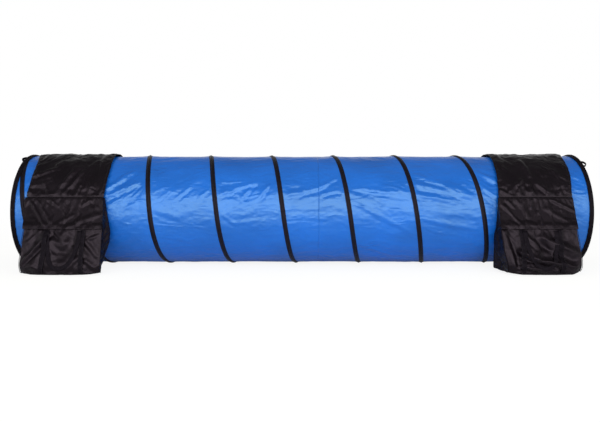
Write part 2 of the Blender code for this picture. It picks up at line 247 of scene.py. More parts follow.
def noise(u, v, seed, around=64):
    """Gradient noise from about -1 to 1. It repeats after a number of cells of v."""
    rows = 64
    angles = np.random.default_rng(seed).uniform(0, TURN, (rows, around))
    across, up = np.cos(angles), np.sin(angles)
    cell_u, cell_v = np.floor(u).astype(int), np.floor(v).astype(int)
    part_u, part_v = u - cell_u, v - cell_v
    ease_u, ease_v = eased(part_u), eased(part_v)

    def corner(step_u, step_v):
        row, column = (cell_u + step_u) % rows, (cell_v + step_v) % around
        return across[row, column] * (part_u - step_u) + up[row, column] * (part_v - step_v)

    low = corner(0, 0) * (1 - ease_u) + corner(1, 0) * ease_u
    high = corner(0, 1) * (1 - ease_u) + corner(1, 1) * ease_u
    return 1.5 * (low * (1 - ease_v) + high * ease_v)


def creases(u, v, seed, around=64, sharpness=2.2):
    """Noise with sharp ridges and sharp valleys, about -1 to 1."""
    ridge = (1 - np.clip(np.abs(noise(u, v, seed, around)), 0, 1)) ** sharpness
    valley = (1 - np.clip(np.abs(noise(u, v, seed + 1, around)), 0, 1)) ** sharpness
    return ridge - valley


def fold_line(u, v, start, end, width, height):
    """One fold along a line in cloth coordinates: a crest with a hollow on its lower side."""
    along = np.array(end, float) - np.array(start, float)
    length = np.hypot(*along)
    along /= length
    off_u, off_v = u - start[0], v - start[1]
    far = (off_u * along[0] + off_v * along[1]) / length
    side = (-off_u * along[1] + off_v * along[0]) / width
    fade = eased(far * 4 + 0.6) * eased((1 - far) * 4 + 0.6)
    crest = np.exp(-side ** 2) - 0.6 * np.exp(-((side + 1.5) ** 2))
    return height * crest * fade


def fold_lines(u, v, folds):
    """Several folds together."""
    return sum(fold_line(u, v, *fold) for fold in folds)


def distances(points):
    """How far each point of a line is from its start, along it."""
    steps = np.linalg.norm(np.diff(points, axis=0), axis=1)
    return np.concatenate([[0], np.cumsum(steps)])


# Meshes

def grid_faces(rows, columns, wrap=False):
    """The corners of a grid's faces. Rows run first; wrap joins the last column to the first."""
    last = columns if wrap else columns - 1
    i, j = np.meshgrid(np.arange(rows - 1), np.arange(last), indexing="ij")
    k = (j + 1) % columns
    corners = [i * columns + j, (i + 1) * columns + j, (i + 1) * columns + k, i * columns + k]
    return np.stack(corners, -1).reshape(-1, 4)


def corner_places(places_u, places_v, wrap=False):
    """Cloth coordinates of every face corner of a grid, in metres."""
    step = places_v[1] - places_v[0]
    last = len(places_v) if wrap else len(places_v) - 1
    i, j = np.meshgrid(np.arange(len(places_u) - 1), np.arange(last), indexing="ij")
    low_u, high_u = places_u[i], places_u[i + 1]
    low_v = places_v[j]
    high_v = low_v + step if wrap else places_v[j + 1]
    corners = [(low_u, low_v), (high_u, low_v), (high_u, high_v), (low_u, high_v)]
    return np.stack([np.stack(c, -1) for c in corners], -2).reshape(-1, 4, 2)


def mesh_of(name, points, faces, places=None):
    """A mesh from points and four-cornered faces, with its cloth coordinates."""
    mesh = bpy.data.meshes.new(name)
    mesh.vertices.add(len(points))
    mesh.vertices.foreach_set("co", np.asarray(points, np.float32).ravel())
    mesh.loops.add(faces.size)
    mesh.loops.foreach_set("vertex_index", faces.astype(np.int32).ravel())
    mesh.polygons.add(len(faces))
    mesh.polygons.foreach_set("loop_start", np.arange(0, faces.size, 4, dtype=np.int32))
    mesh.update(calc_edges=True)
    if places is not None:
        layer = mesh.uv_layers.new(name="cloth")
        layer.data.foreach_set("uv", np.asarray(places, np.float32).ravel())
    mesh.shade_smooth()
    return mesh


def add_object(name, mesh, material=None):
    """An object at the origin that shows a mesh."""
    obj = bpy.data.objects.new(name, mesh)
    bpy.context.scene.collection.objects.link(obj)
    if material is not None:
        mesh.materials.clear()
        mesh.materials.append(material)
    return obj


def mended(mesh, merge=None):
    """Close a mesh, by merging its doubles or by filling its open ends, and turn its faces outwards."""
    bm = bmesh.new()
    bm.from_mesh(mesh)
    if merge:
        bmesh.ops.remove_doubles(bm, verts=bm.verts, dist=merge)
    else:
        bmesh.ops.holes_fill(bm, edges=[edge for edge in bm.edges if edge.is_boundary], sides=0)
    bmesh.ops.recalc_face_normals(bm, faces=bm.faces)
    bm.to_mesh(mesh)
    bm.free()
    return mesh


def carried(piece, body, node=None):
    """Make a piece ride a body, and hide the model's part that it stands for."""
    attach(piece, body)
    if node:
        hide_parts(node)
    return piece


def open_edges(faces):
    """The edges that only one face uses, in that face's direction."""
    starts = faces.ravel()
    ends = np.roll(faces, -1, axis=1).ravel()
    big = int(faces.max()) + 1
    forward = starts.astype(np.int64) * big + ends
    backward = ends.astype(np.int64) * big + starts
    lone = ~np.isin(forward, backward)
    return starts[lone], ends[lone]


def shell(name, points, faces, normals, thickness, places, material, lining):
    """A thin closed cloth: the outer side, an inner side with its own finish and the edges between them."""
    count = len(points)
    starts, ends = open_edges(faces)
    rim = np.stack([ends, starts, starts + count, ends + count], -1)
    whole = np.concatenate([faces, faces[:, ::-1] + count, rim])
    corners, first = np.unique(faces, return_index=True)
    rim_places = places.reshape(-1, 2)[first[np.searchsorted(corners, starts)]]
    all_places = np.concatenate([places, places[:, ::-1], np.repeat(rim_places[:, None], 4, axis=1)])
    both = np.concatenate([points, points - normals * thickness])
    mesh = mesh_of(name, both, whole, all_places)
    mesh.normals_split_custom_set_from_vertices(np.concatenate([normals, -normals]).tolist())
    obj = add_object(name, mesh, material)
    mesh.materials.append(lining)
    inner = np.zeros(len(whole), np.int32)
    inner[len(faces):2 * len(faces)] = 1
    mesh.polygons.foreach_set("material_index", inner)
    return obj


def plain_copy(obj):
    """Replace an object by a plain mesh of what its modifiers make."""
    evaluated = obj.evaluated_get(bpy.context.evaluated_depsgraph_get())
    mesh = bpy.data.meshes.new_from_object(evaluated)
    obj.modifiers.clear()
    if obj.type == "MESH":
        obj.data = mesh
        return obj
    name, curve = obj.name, obj.data
    bpy.data.objects.remove(obj)
    bpy.data.curves.remove(curve)
    return add_object(name, mesh)


# Shader and geometry trees

class Tree:
    """Adds nodes to a tree and joins them."""

    def __init__(self, tree):
        self.tree = tree
        tree.nodes.clear()

    def add(self, kind, inputs=(), **settings):
        """A node with its settings, and its inputs by name or number: a value or another's output."""
        made = self.tree.nodes.new(kind)
        for key, value in settings.items():
            setattr(made, key, value)
        for key, value in dict(inputs).items():
            if isinstance(value, bpy.types.NodeSocket):
                self.tree.links.new(value, made.inputs[key])
            else:
                made.inputs[key].default_value = value
        return made

    def maths(self, operation, a, b=0.0):
        """The result of one sum."""
        return self.add("ShaderNodeMath", {0: a, 1: b}, operation=operation).outputs[0]

    def ranged(self, value, low, high, to_low=0.0, to_high=1.0, **settings):
        """A value carried over from one range to another."""
        inputs = {"Value": value, "From Min": low, "From Max": high, "To Min": to_low, "To Max": to_high}
        return self.add("ShaderNodeMapRange", inputs, **settings).outputs[0]


def new_material(name):
    """A material and the tree that makes it."""
    material = bpy.data.materials.new(name)
    material.use_nodes = True
    return material, Tree(material.node_tree)


def cloth_point(tree, scale_u=1.0, scale_v=1.0, turn=0.0):
    """Places on the cloth in metres, scaled and turned."""
    place = tree.add("ShaderNodeUVMap", uv_map="cloth").outputs[0]
    mapped = tree.add(
        "ShaderNodeMapping",
        {"Vector": place, "Scale": (scale_u, scale_v, 1.0), "Rotation": (0.0, 0.0, turn)},
    )
    return mapped.outputs[0]


def waves(tree, point, period, axis):
    """Bands across one axis of the cloth, with this distance between them."""
    inputs = {"Vector": point, "Scale": WAVE_PERIOD / period}
    return tree.add("ShaderNodeTexWave", inputs, bands_direction=axis).outputs["Fac"]


def woven(tree, thread):
    """The height of a plain weave with this distance between threads."""
    point = cloth_point(tree)
    return tree.maths("MULTIPLY", waves(tree, point, thread, "X"), waves(tree, point, thread, "Y"))


def cloudy(tree, point, detail, scale=1.0):
    """Soft noise."""
    return tree.add("ShaderNodeTexNoise", {"Vector": point, "Scale": scale, "Detail": detail}).outputs[0]


def crinkled(tree, point, detail, roughness, distortion):
    """Noise with ridges, like cloth that has been crushed."""
    return tree.add(
        "ShaderNodeTexNoise",
        {"Vector": point, "Scale": 1.0, "Detail": detail, "Roughness": roughness, "Distortion": distortion},
        noise_type="RIDGED_MULTIFRACTAL", normalize=True,
    ).outputs[0]


def cellular(tree, point, feature, **inputs):
    """Noise of rounded cells."""
    values = {"Vector": point, "Scale": 1.0, **inputs}
    return tree.add("ShaderNodeTexVoronoi", values, feature=feature).outputs["Distance"]


def layered(tree, *layers):
    """The sum of several heights, each times its share."""
    total = 0.0
    for height, share in layers:
        total = tree.maths("ADD", total, tree.maths("MULTIPLY", height, share))
    return total


def finish_cloth(tree, colour, height, strength, distance, inputs):
    """Join a colour and a height to a Principled shader and the output."""
    bump = tree.add("ShaderNodeBump", {"Height": height, "Strength": strength, "Distance": distance})
    shader = tree.add("ShaderNodeBsdfPrincipled", {"Base Color": colour, "Normal": bump.outputs[0], **inputs})
    tree.add("ShaderNodeOutputMaterial", {"Surface": shader.outputs[0]})


def shaded(tree, colour, factor, dark, light):
    """A colour that varies between two strengths of itself."""
    ramp = tree.add("ShaderNodeValToRGB", {"Fac": factor})
    for element, strength in zip(ramp.color_ramp.elements, (dark, light)):
        element.color = (*(min(1.0, c * strength) for c in colour), 1.0)
    ramp.color_ramp.elements[0].position = 0.32
    ramp.color_ramp.elements[1].position = 0.68
    return ramp.outputs[0]


def sleeve_cloth(colour, seam):
    """Glossy blue taffeta, crinkled all over, with one seam round it."""
    material, tree = new_material("sleeve_taffeta")
    crinkle = crinkled(tree, cloth_point(tree, 9.0, 26.0, 0.25), 5.0, 0.62, 0.9)
    fine = cellular(tree, cloth_point(tree, 38.0, 60.0, -0.35), "SMOOTH_F1", Randomness=1.0)
    patches = cloudy(tree, cloth_point(tree, 3.0, 4.5), 3.0)
    along = tree.add("ShaderNodeSeparateXYZ", {0: cloth_point(tree)}).outputs[0]
    sewn = tree.maths("ABSOLUTE", tree.maths("SUBTRACT", along, seam))
    groove = tree.ranged(sewn, 0.0, 0.0035, 0.5, 0.0, interpolation_type="SMOOTHSTEP")
    height = layered(tree, (crinkle, 0.9), (fine, 0.35), (woven(tree, 0.0007), 0.02), (groove, -1.0))
    finish_cloth(
        tree, shaded(tree, colour, patches, 0.88, 1.14), height, 0.95, 0.004,
        {"Roughness": tree.ranged(patches, 0.3, 0.7, 0.27, 0.35), "Specular IOR Level": 0.90,
         "Specular Tint": (0.60, 1.0, 1.0, 1.0)},
    )
    return material


def lining_cloth(colour):
    """The sleeve's coated inner side: the same blue, but dull, with painted shade that darkens the hollows of
    its crinkles.
    """
    material, tree = new_material("sleeve_lining")
    crinkle = cloudy(tree, cloth_point(tree, 8.0, 20.0, 0.25), 5.0)
    height = layered(tree, (crinkle, 1.0), (woven(tree, 0.0007), 0.02))
    # Painted shade: the blue is darkest where the crinkle's bump is lowest, in its hollows.
    finish_cloth(
        tree, shaded(tree, colour, crinkle, 0.70, 0.95), height, 0.5, 0.004,
        {"Roughness": 0.68, "Specular IOR Level": 0.22, "Specular Tint": (0.5, 0.8, 1.0, 1.0)},
    )
    return material


def bag_cloth(colour):
    """Black satin polyester with a fine weave and soft wear."""
    material, tree = new_material("bag_oxford")
    crinkle = crinkled(tree, cloth_point(tree, 16.0, 16.0), 4.0, 0.6, 0.7)
    patches = cloudy(tree, cloth_point(tree, 9.0, 9.0), 4.0)
    height = layered(tree, (crinkle, 0.8), (woven(tree, 0.0011), 0.06))
    finish_cloth(
        tree, shaded(tree, colour, patches, 0.82, 1.25), height, 0.5, 0.003,
        {"Roughness": tree.ranged(patches, 0.3, 0.7, 0.32, 0.42), "Specular IOR Level": 0.22,
         "Specular Tint": (1.0, 0.82, 0.97, 1.0)},
    )
    return material


def webbing_cloth(colour, name, roughness, gloss):
    """Black webbing with ribs across it."""
    material, tree = new_material(name)
    point = cloth_point(tree)
    fuzz = cloudy(tree, cloth_point(tree, 60.0, 60.0), 5.0)
    ribs, lines = waves(tree, point, 0.0016, "X"), waves(tree, point, 0.0031, "Y")
    height = layered(tree, (ribs, 0.5), (lines, 0.3), (fuzz, 0.4))
    finish_cloth(
        tree, shaded(tree, colour, fuzz, 0.7, 1.6), height, 0.6, 0.0006,
        {"Roughness": roughness, "Specular IOR Level": gloss, "Specular Tint": (0.95, 0.8, 1.0, 1.0)},
    )
    return material


def thread_finish():
    """Dark grey sewing thread."""
    material, tree = new_material("sewing_thread")
    twist = cloudy(tree, tree.add("ShaderNodeTexCoord").outputs["Object"], 2.0, 900.0)
    colour = shaded(tree, (0.035, 0.032, 0.036), twist, 0.7, 1.4)
    finish_cloth(tree, colour, twist, 0.4, 0.0003, {"Roughness": 0.6})
    return material


def closure_finish(name, scale, strength):
    """Matt black hook or loop tape."""
    material, tree = new_material(name)
    pile = cellular(tree, cloth_point(tree, scale, scale), "F1")
    colour = shaded(tree, (0.010, 0.010, 0.010), pile, 0.6, 1.8)
    finish_cloth(tree, colour, pile, strength, 0.0008, {"Roughness": 0.9, "Sheen Weight": 0.25})
    return material


def liner_cloth(colour):
    """Natural canvas of the sand liners."""
    material, tree = new_material("liner_canvas")
    stain = cloudy(tree, cloth_point(tree, 14.0, 14.0), 5.0)
    height = layered(tree, (woven(tree, 0.0015), 0.4), (stain, 0.8))
    shades = shaded(tree, colour, stain, 0.75, 1.15)
    finish_cloth(tree, shades, height, 0.6, 0.002, {"Roughness": 0.86, "Sheen Weight": 0.15})
    return material


def steel_finish(colour):
    """Drawn spring wire with fine scratches along it and dull patches."""
    material, tree = new_material("spring_steel")
    place = tree.add("ShaderNodeTexCoord").outputs["Object"]
    drawn, dull = cloudy(tree, place, 4.0, 320.0), cloudy(tree, place, 3.0, 22.0)
    finish_cloth(
        tree, shaded(tree, colour, dull, 0.75, 1.1), drawn, 0.15, 0.0003,
        {"Roughness": tree.ranged(dull, 0.3, 0.7, 0.24, 0.42), "Metallic": 1.0},
    )
    return material


FINISHES = {}


def finish(name):
    """The shared material of one finish, made on first use."""
    if name not in FINISHES:
        colours = bpy.context.scene.tunnel_colours
        makers = {
            "sleeve": lambda: sleeve_cloth(tuple(colours.sleeve), bpy.context.scene.tunnel_sizes.seam),
            "lining": lambda: lining_cloth(tuple(colours.sleeve)),
            "bag_cloth": lambda: bag_cloth(tuple(colours.bag)),
            "webbing": lambda: webbing_cloth(tuple(colours.webbing), "ribbed_webbing", 0.56, 0.09),
            "tape": lambda: webbing_cloth(tuple(colours.webbing), "satin_tape", 0.40, 0.19),
            "thread": thread_finish,
            "hook": lambda: closure_finish("hook_tape", 900.0, 0.8),
            "loop": lambda: closure_finish("loop_tape", 520.0, 0.5),
            "sand_liner": lambda: liner_cloth(tuple(colours.liner)),
            "spring_steel": lambda: steel_finish(tuple(colours.steel)),
        }
        FINISHES[name] = makers[name]()
    return FINISHES[name]


def new_group(name, sizes):
    """A geometry tree with named sizes and a material: its group, its inputs' identifiers and outputs."""
    group = bpy.data.node_groups.new(name, "GeometryNodeTree")
    kinds = {"Geometry": "NodeSocketGeometry", **dict.fromkeys(sizes, "NodeSocketFloat"),
             "Material": "NodeSocketMaterial"}
    ids = {
        socket: group.interface.new_socket(name=socket, in_out="INPUT", socket_type=kind).identifier
        for socket, kind in kinds.items()
    }
    group.interface.new_socket(name="Geometry", in_out="OUTPUT", socket_type="NodeSocketGeometry")
    tree = Tree(group)
    return group, ids, tree, tree.add("NodeGroupInput").outputs


def finish_group(tree, shape, material):
    """End a geometry tree with plain faces in one material."""
    real = tree.add("GeometryNodeRealizeInstances", {"Geometry": shape})
    dyed = tree.add("GeometryNodeSetMaterial", {"Geometry": real.outputs[0], "Material": material})
    tree.add("NodeGroupOutput", {0: dyed.outputs[0]})


def stitch_tree():
    """A geometry tree that lays stitches along curves between two places on the X axis."""
    group, ids, tree, given = new_group("stitch_row", ("Pitch", "Length", "Thread", "Low", "High"))
    even = tree.add("GeometryNodeResampleCurve", {"Curve": given["Geometry"], "Length": given["Pitch"]},
                    mode="LENGTH").outputs[0]
    points = tree.add("GeometryNodeCurveToPoints", {"Curve": even}, mode="EVALUATED")
    along = tree.add("ShaderNodeSeparateXYZ", {0: tree.add("GeometryNodeInputPosition").outputs[0]})
    before = tree.maths("LESS_THAN", along.outputs[0], given["Low"])
    after = tree.maths("GREATER_THAN", along.outputs[0], given["High"])
    kept = tree.add(
        "GeometryNodeDeleteGeometry",
        {"Geometry": points.outputs["Points"], "Selection": tree.maths("MAXIMUM", before, after)},
        domain="POINT",
    )
    ball = tree.add("GeometryNodeMeshIcoSphere", {"Radius": 0.5, "Subdivisions": 1})
    size = tree.add("ShaderNodeCombineXYZ", {0: given["Thread"], 1: given["Thread"], 2: given["Length"]})
    set_on = tree.add(
        "GeometryNodeInstanceOnPoints",
        {"Points": kept.outputs[0], "Instance": ball.outputs[0], "Rotation": points.outputs["Rotation"],
         "Scale": size.outputs[0]},
    )
    finish_group(tree, set_on.outputs[0], given["Material"])
    return group, ids


def wire_tree():
    """A geometry tree that gives a curve a round section."""
    group, ids, tree, given = new_group("round_wire", ("Radius",))
    section = tree.add("GeometryNodeCurvePrimitiveCircle", {"Resolution": 8, "Radius": given["Radius"]})
    tube = tree.add(
        "GeometryNodeCurveToMesh",
        {"Curve": given["Geometry"], "Profile Curve": section.outputs[0], "Fill Caps": True},
    )
    finish_group(tree, tube.outputs[0], given["Material"])
    return group, ids


TREES = {}


def grown(name, lines, tree_maker, values):
    """A plain mesh that a geometry tree makes from lines of points."""
    if tree_maker not in TREES:
        TREES[tree_maker] = tree_maker()
    group, ids = TREES[tree_maker]
    curve = bpy.data.curves.new(name + "_line", "CURVE")
    curve.dimensions = "3D"
    for line in lines:
        spline = curve.splines.new("POLY")
        spline.points.add(len(line) - 1)
        spline.points.foreach_set("co", np.column_stack([line, np.ones(len(line))]).ravel())
    obj = bpy.data.objects.new(name, curve)
    bpy.context.scene.collection.objects.link(obj)
    modifier = obj.modifiers.new("shape", "NODES")
    modifier.node_group = group
    for key, value in values.items():
        modifier[ids[key]] = value
    made = plain_copy(obj)
    made.data.shade_smooth()
    return made


def stitched(name, lines, low=-FAR_OFF, high=FAR_OFF):
    """Stitches along lines of points, between two places on the X axis."""
    bags = bpy.context.scene.bag_sizes
    values = {
        "Pitch": bags.stitch_pitch, "Length": bags.stitch_length, "Thread": bags.thread, "Low": low,
        "High": high, "Material": finish("thread"),
    }
    return grown(name, lines, stitch_tree, values)


# The tunnel's spiral and sleeve

def spiral_x(turns, sizes):
    """Where the spiral is along the tunnel after some turns from its first front crossing."""
    near = sizes.first_front + turns * (sizes.third_front - sizes.first_front) / 2
    far = sizes.third_front + (turns - 2) * sizes.pitch
    growing = np.clip(turns / 2, 0, 1)
    fading = np.clip((8.5 - turns) / 6.5, 0, 1)
    return np.where(turns < 2, near, far) - sizes.lean * growing * fading * np.sin(turns * TURN)


def out_of_round(x, angle, sizes):
    """A slow wobble of the tunnel's radius."""
    return sizes.wobble * noise(x * 2.2 + 9, angle / TURN * 5, 3, 5)


def ring_points(x, angle, radius):
    """Points around the tunnel. Angle 0 is the front, and it grows towards the top."""
    return np.stack([x + 0 * angle, -radius * np.cos(angle), AXIS_Z + radius * np.sin(angle)], -1)


def tape_distances(x, angle, sizes):
    """How far each place is from the spiral on its left and on its right."""
    numbers = np.arange(-1, 11)[:, None]
    turns = numbers - angle[None, :] / TURN
    centres = spiral_x(turns, sizes)
    real = (turns >= sizes.first_turn - 0.02) & (turns <= sizes.last_turn + 0.02)
    centres = np.where(real, centres, FAR_OFF)
    edge = MOUTH_X - BINDING_WIDTH / 2
    ends = np.stack([np.full(len(angle), -edge), np.full(len(angle), edge)])
    gaps = x[None, :, None] - np.concatenate([centres, ends])[:, None, :]
    left = np.where(gaps >= 0, gaps, FAR_OFF).min(0)
    right = np.where(gaps < 0, -gaps, FAR_OFF).min(0)
    return left, right


# The sleeve's grid, how high its folds may stand, and how high its cloth may stand with its wobble
SLEEVE_STEP = 0.007
SLEEVE_COLUMNS = 336
HIGHEST_FOLD = 0.0045
HIGHEST_CLOTH = 0.0052

# The sleeve's strongest folds: start and end as (along, round from the front), width and height
SLEEVE_FOLDS = [
    ((-0.657, 0.079), (-0.594, 0.133), 0.010, 0.0036), ((-0.540, 0.081), (-0.482, 0.126), 0.010, 0.0036),
    ((-0.785, 0.015), (-0.641, -0.033), 0.016, 0.0030), ((-0.438, 0.094), (-0.259, 0.160), 0.014, 0.0046),
    ((-0.317, 0.069), (-0.258, 0.153), 0.011, 0.0040), ((-0.220, 0.081), (-0.173, 0.153), 0.010, 0.0040),
    ((-0.142, -0.018), (-0.117, 0.015), 0.008, 0.0020), ((-0.430, -0.009), (-0.352, -0.064), 0.010, 0.0030),
    ((-0.087, 0.088), (0.094, 0.133), 0.014, 0.0046), ((0.095, 0.133), (0.186, 0.189), 0.011, 0.0040),
    ((0.105, 0.096), (0.200, 0.118), 0.009, 0.0030), ((0.274, 0.051), (0.553, -0.097), 0.014, 0.0034),
    ((0.576, 0.160), (0.897, 0.081), 0.018, 0.0052), ((0.596, 0.094), (0.817, 0.051), 0.013, 0.0042),
    ((0.576, 0.220), (0.851, 0.113), 0.016, 0.0040), ((0.623, -0.033), (0.923, -0.103), 0.014, 0.0030),
    ((0.928, 0.153), (1.023, 0.076), 0.013, 0.0062), ((0.929, 0.113), (1.021, 0.051), 0.012, 0.0052),
    ((0.924, 0.237), (1.028, 0.167), 0.014, 0.0060), ((0.303, -0.183), (0.484, -0.282), 0.014, 0.0030),
    ((-1.033, 0.119), (-0.904, 0.236), 0.015, 0.0060), ((-1.037, 0.080), (-0.870, 0.160), 0.014, 0.0050),
    ((1.443, 0.204), (1.497, 0.165), 0.010, 0.0030), ((-1.472, 0.147), (-1.431, 0.178), 0.010, 0.0030),
]


def slant(x):
    """How far the long folds have drifted round the sleeve: they rise to the right, then fall."""
    return -0.19 * (x - 0.1) ** 2


def crinkle_slant(x):
    """The same for the short creases, which rise steeply on the left and fall on the right."""
    return 0.3 * x - 0.135 * np.log(np.cosh((x - 0.3) / 0.15))


def sleeve_relief(x, angle, sizes):
    """The height of the sleeve's cloth over its wire, from sag, long folds, crumples and puckers."""
    left, right = tape_distances(x, angle, sizes)
    near = np.minimum(left, right)
    free = eased((near - 0.012) / 0.045)
    share = left / (left + right)
    span = np.clip((left + right) / sizes.pitch, 0, 1.1)
    grid_x, grid_a = np.meshgrid(x, angle, indexing="ij")
    depth = sizes.sag * (1 + 0.65 * np.sin(grid_a))
    sag = -depth * (4 * share * (1 - share)) ** 0.75 * span ** 2
    around = (grid_a / TURN - slant(grid_x) / GIRTH) % 1.0
    bend = 0.35 * noise(grid_x * 5 + 3, around * 12, 11, 12)
    lively = 0.66 + 0.40 * np.exp(-((np.sin(grid_a) - 0.30) / 0.36) ** 2)
    patch = 0.55 + 0.75 * eased(noise(grid_x * 2.7, around * 7, 21, 7) + 0.55)
    long_folds = creases(grid_x * 3.1 + bend, around * 26 + bend, 31, 26, 2.6)
    short_folds = creases(grid_x * 7.5 + bend, around * 44 + 0.5 * bend, 41, 44, 2.0)
    crumple = creases(grid_x * 17 + bend * 2, around * 70 + bend, 51, 70, 1.6)
    upright = noise(grid_x * 46, grid_a / TURN * 24, 61, 24)
    folds = 0.72 * long_folds + 0.46 * short_folds + 0.34 * crumple + 0.10 * upright
    pucker = np.exp(-((near - 0.014) / 0.022) ** 2) * noise(near * 6, grid_a / TURN * 90, 71, 90)
    relief = sizes.crease * folds * lively * patch * free + 0.0009 * pucker
    run = grid_a * SLEEVE_RADIUS
    relief = relief + fold_lines(grid_x, run, SLEEVE_FOLDS) * free ** 0.5
    ragged = 0.12 + np.exp(-((np.sin(grid_a) - 0.36) / 0.17) ** 2)
    crinkle = creases((run - crinkle_slant(grid_x)) * 30, grid_x * 8 + run * 3 + 30, 91, 64, 2.0)
    tucks = eased(noise(grid_x * 4.1, run * 6 + 20, 95) + 0.45)
    relief = relief + 0.0019 * crinkle * ragged * tucks * free
    return sag * free ** 0.5 + relief - 0.0004


def sleeve_surface(sizes):
    """The whole sleeve as a grid: places along and around, points, and normals."""
    steps = [round((high - low) / SLEEVE_STEP) for *_, low, high in STRETCHES]
    x = np.concatenate(
        [np.linspace(low, high, n, endpoint=False) for n, (*_, low, high) in zip(steps, STRETCHES)]
        + [[STRETCHES[-1][4]]]
    )
    angle = np.linspace(-TURN / 4, TURN * 3 / 4, SLEEVE_COLUMNS + 1)[:-1]
    grid_x, grid_a = np.meshgrid(x, angle, indexing="ij")
    relief = np.minimum(sleeve_relief(x, angle, sizes), HIGHEST_FOLD)
    radius = SLEEVE_RADIUS + relief + out_of_round(grid_x, grid_a, sizes)
    radius = np.minimum(radius, SLEEVE_RADIUS + HIGHEST_CLOTH)
    points = ring_points(grid_x, grid_a, radius)
    along = np.gradient(points, x, axis=0)
    round_it = np.roll(points, -1, axis=1) - np.roll(points, 1, axis=1)
    normals = np.cross(along, round_it)
    normals /= np.linalg.norm(normals, axis=-1, keepdims=True)
    return x, angle, points, normals, np.cumsum([0] + steps)


def follow(piece, stretch, node=None):
    """Make a piece move with one stretch of the sleeve, and hide the model's part that it stands for."""
    _, bodies, joint, low, high = stretch
    if len(bodies) == 2:
        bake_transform(piece)
    else:
        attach(piece, bodies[0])
    if joint:
        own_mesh(piece)
    if node:
        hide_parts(node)


class TUNNEL_OT_sleeve(bpy.types.Operator):
    """Make the blue sleeve, one cloth tube for each stretch"""

    bl_idname = "tunnel.sleeve"
    bl_label = "Sleeve"

    def execute(self, context):
        sizes = context.scene.tunnel_sizes
        x, angle, points, normals, cuts = sleeve_surface(sizes)
        columns = len(angle)
        for number, stretch in enumerate(STRETCHES):
            rows = slice(cuts[number], cuts[number + 1] + 1)
            part_x = x[rows]
            faces = grid_faces(len(part_x), columns, wrap=True)
            places = corner_places(part_x, angle * SLEEVE_RADIUS, wrap=True)
            piece = shell(
                f"cloth_{stretch[0]}", points[rows].reshape(-1, 3), faces, normals[rows].reshape(-1, 3),
                sizes.cloth, places, finish("sleeve"), finish("lining"),
            )
            follow(piece, stretch, f"sleeve_{stretch[0]}")
        return {"FINISHED"}


def between(mesh, low, high, name):
    """The part of a closed mesh between two places on the X axis, closed again at its cuts."""
    bm = bmesh.new()
    bm.from_mesh(mesh)
    for place, sign in ((low, -1), (high, 1)):
        everything = bm.verts[:] + bm.edges[:] + bm.faces[:]
        bmesh.ops.bisect_plane(
            bm, geom=everything, plane_co=(place, 0, 0), plane_no=(sign, 0, 0), clear_outer=True, dist=1e-7
        )
        rim = [edge for edge in bm.edges if edge.is_boundary]
        bmesh.ops.holes_fill(bm, edges=rim, sides=0)
    part = bpy.data.meshes.new(name)
    bm.to_mesh(part)
    bm.free()
    return part


# Between which turns the spring wire runs: it starts and ends inside the bindings
WIRE_TURNS = (-4 / 24, 206 / 24)


def spiral_line(sizes, radius, turns_between, step=2.5, shift=0.0):
    """Points along the spiral at a radius, some degrees apart, and the angle and turn of each."""
    first, last = turns_between
    turns = np.linspace(first, last, int((last - first) * 360 / step) + 1)
    angle = -turns * TURN
    x = spiral_x(turns, sizes) + shift
    return ring_points(x, angle, radius + out_of_round(x, angle, sizes)), angle, turns


def bare_end(sizes):
    """How far along the tunnel the tape isn't covered by a binding."""
    return MOUTH_X - sizes.binding - 0.002


def tape_crown(across):
    """How far the webbing stands up over the wire, across its width."""
    height, half_width = 0.0042, 0.0046
    return height * np.exp(-((across / half_width) ** 4))


def tape_mesh(sizes):
    """The webbing over the wire: raised over the wire, flat at its edges and where a binding covers it."""
    half = sizes.tape_width / 2
    thick = sizes.tape_thickness
    across = np.array([-1.0, -0.8, -0.5, -0.33, -0.2, 0.0, 0.2, 0.33, 0.5, 0.8, 1.0]) * half
    crown = tape_crown(across)
    rim = np.where(np.abs(across) > 0.95 * half, 0.35, 1.0)
    top = list(zip(across, 0.0004 + crown + thick * rim))
    under = list(zip(across[::-1], (0.0002 + crown)[::-1]))
    section = np.array(top + under)
    line, angle, turns = spiral_line(sizes, SLEEVE_RADIUS, (sizes.first_turn, sizes.last_turn))
    wavy = 0.0008 * noise(turns * 9, 0 * turns, 81)
    points = []
    uneven = out_of_round(line[:, 0], angle, sizes)
    for offset, lift in section:
        x = line[:, 0] + offset + wavy
        covered = eased((np.abs(x) - bare_end(sizes)) / 0.004)
        pressed = covered * (tape_crown(offset) + np.maximum(uneven - 0.0004, 0))
        points.append(ring_points(x, angle, SLEEVE_RADIUS + lift + uneven - pressed))
    grid = np.stack(points, 1)
    faces = grid_faces(len(grid), len(section), wrap=True)
    places = corner_places(distances(line), distances(section), wrap=True)
    return mended(mesh_of("tape", grid.reshape(-1, 3), faces, places))


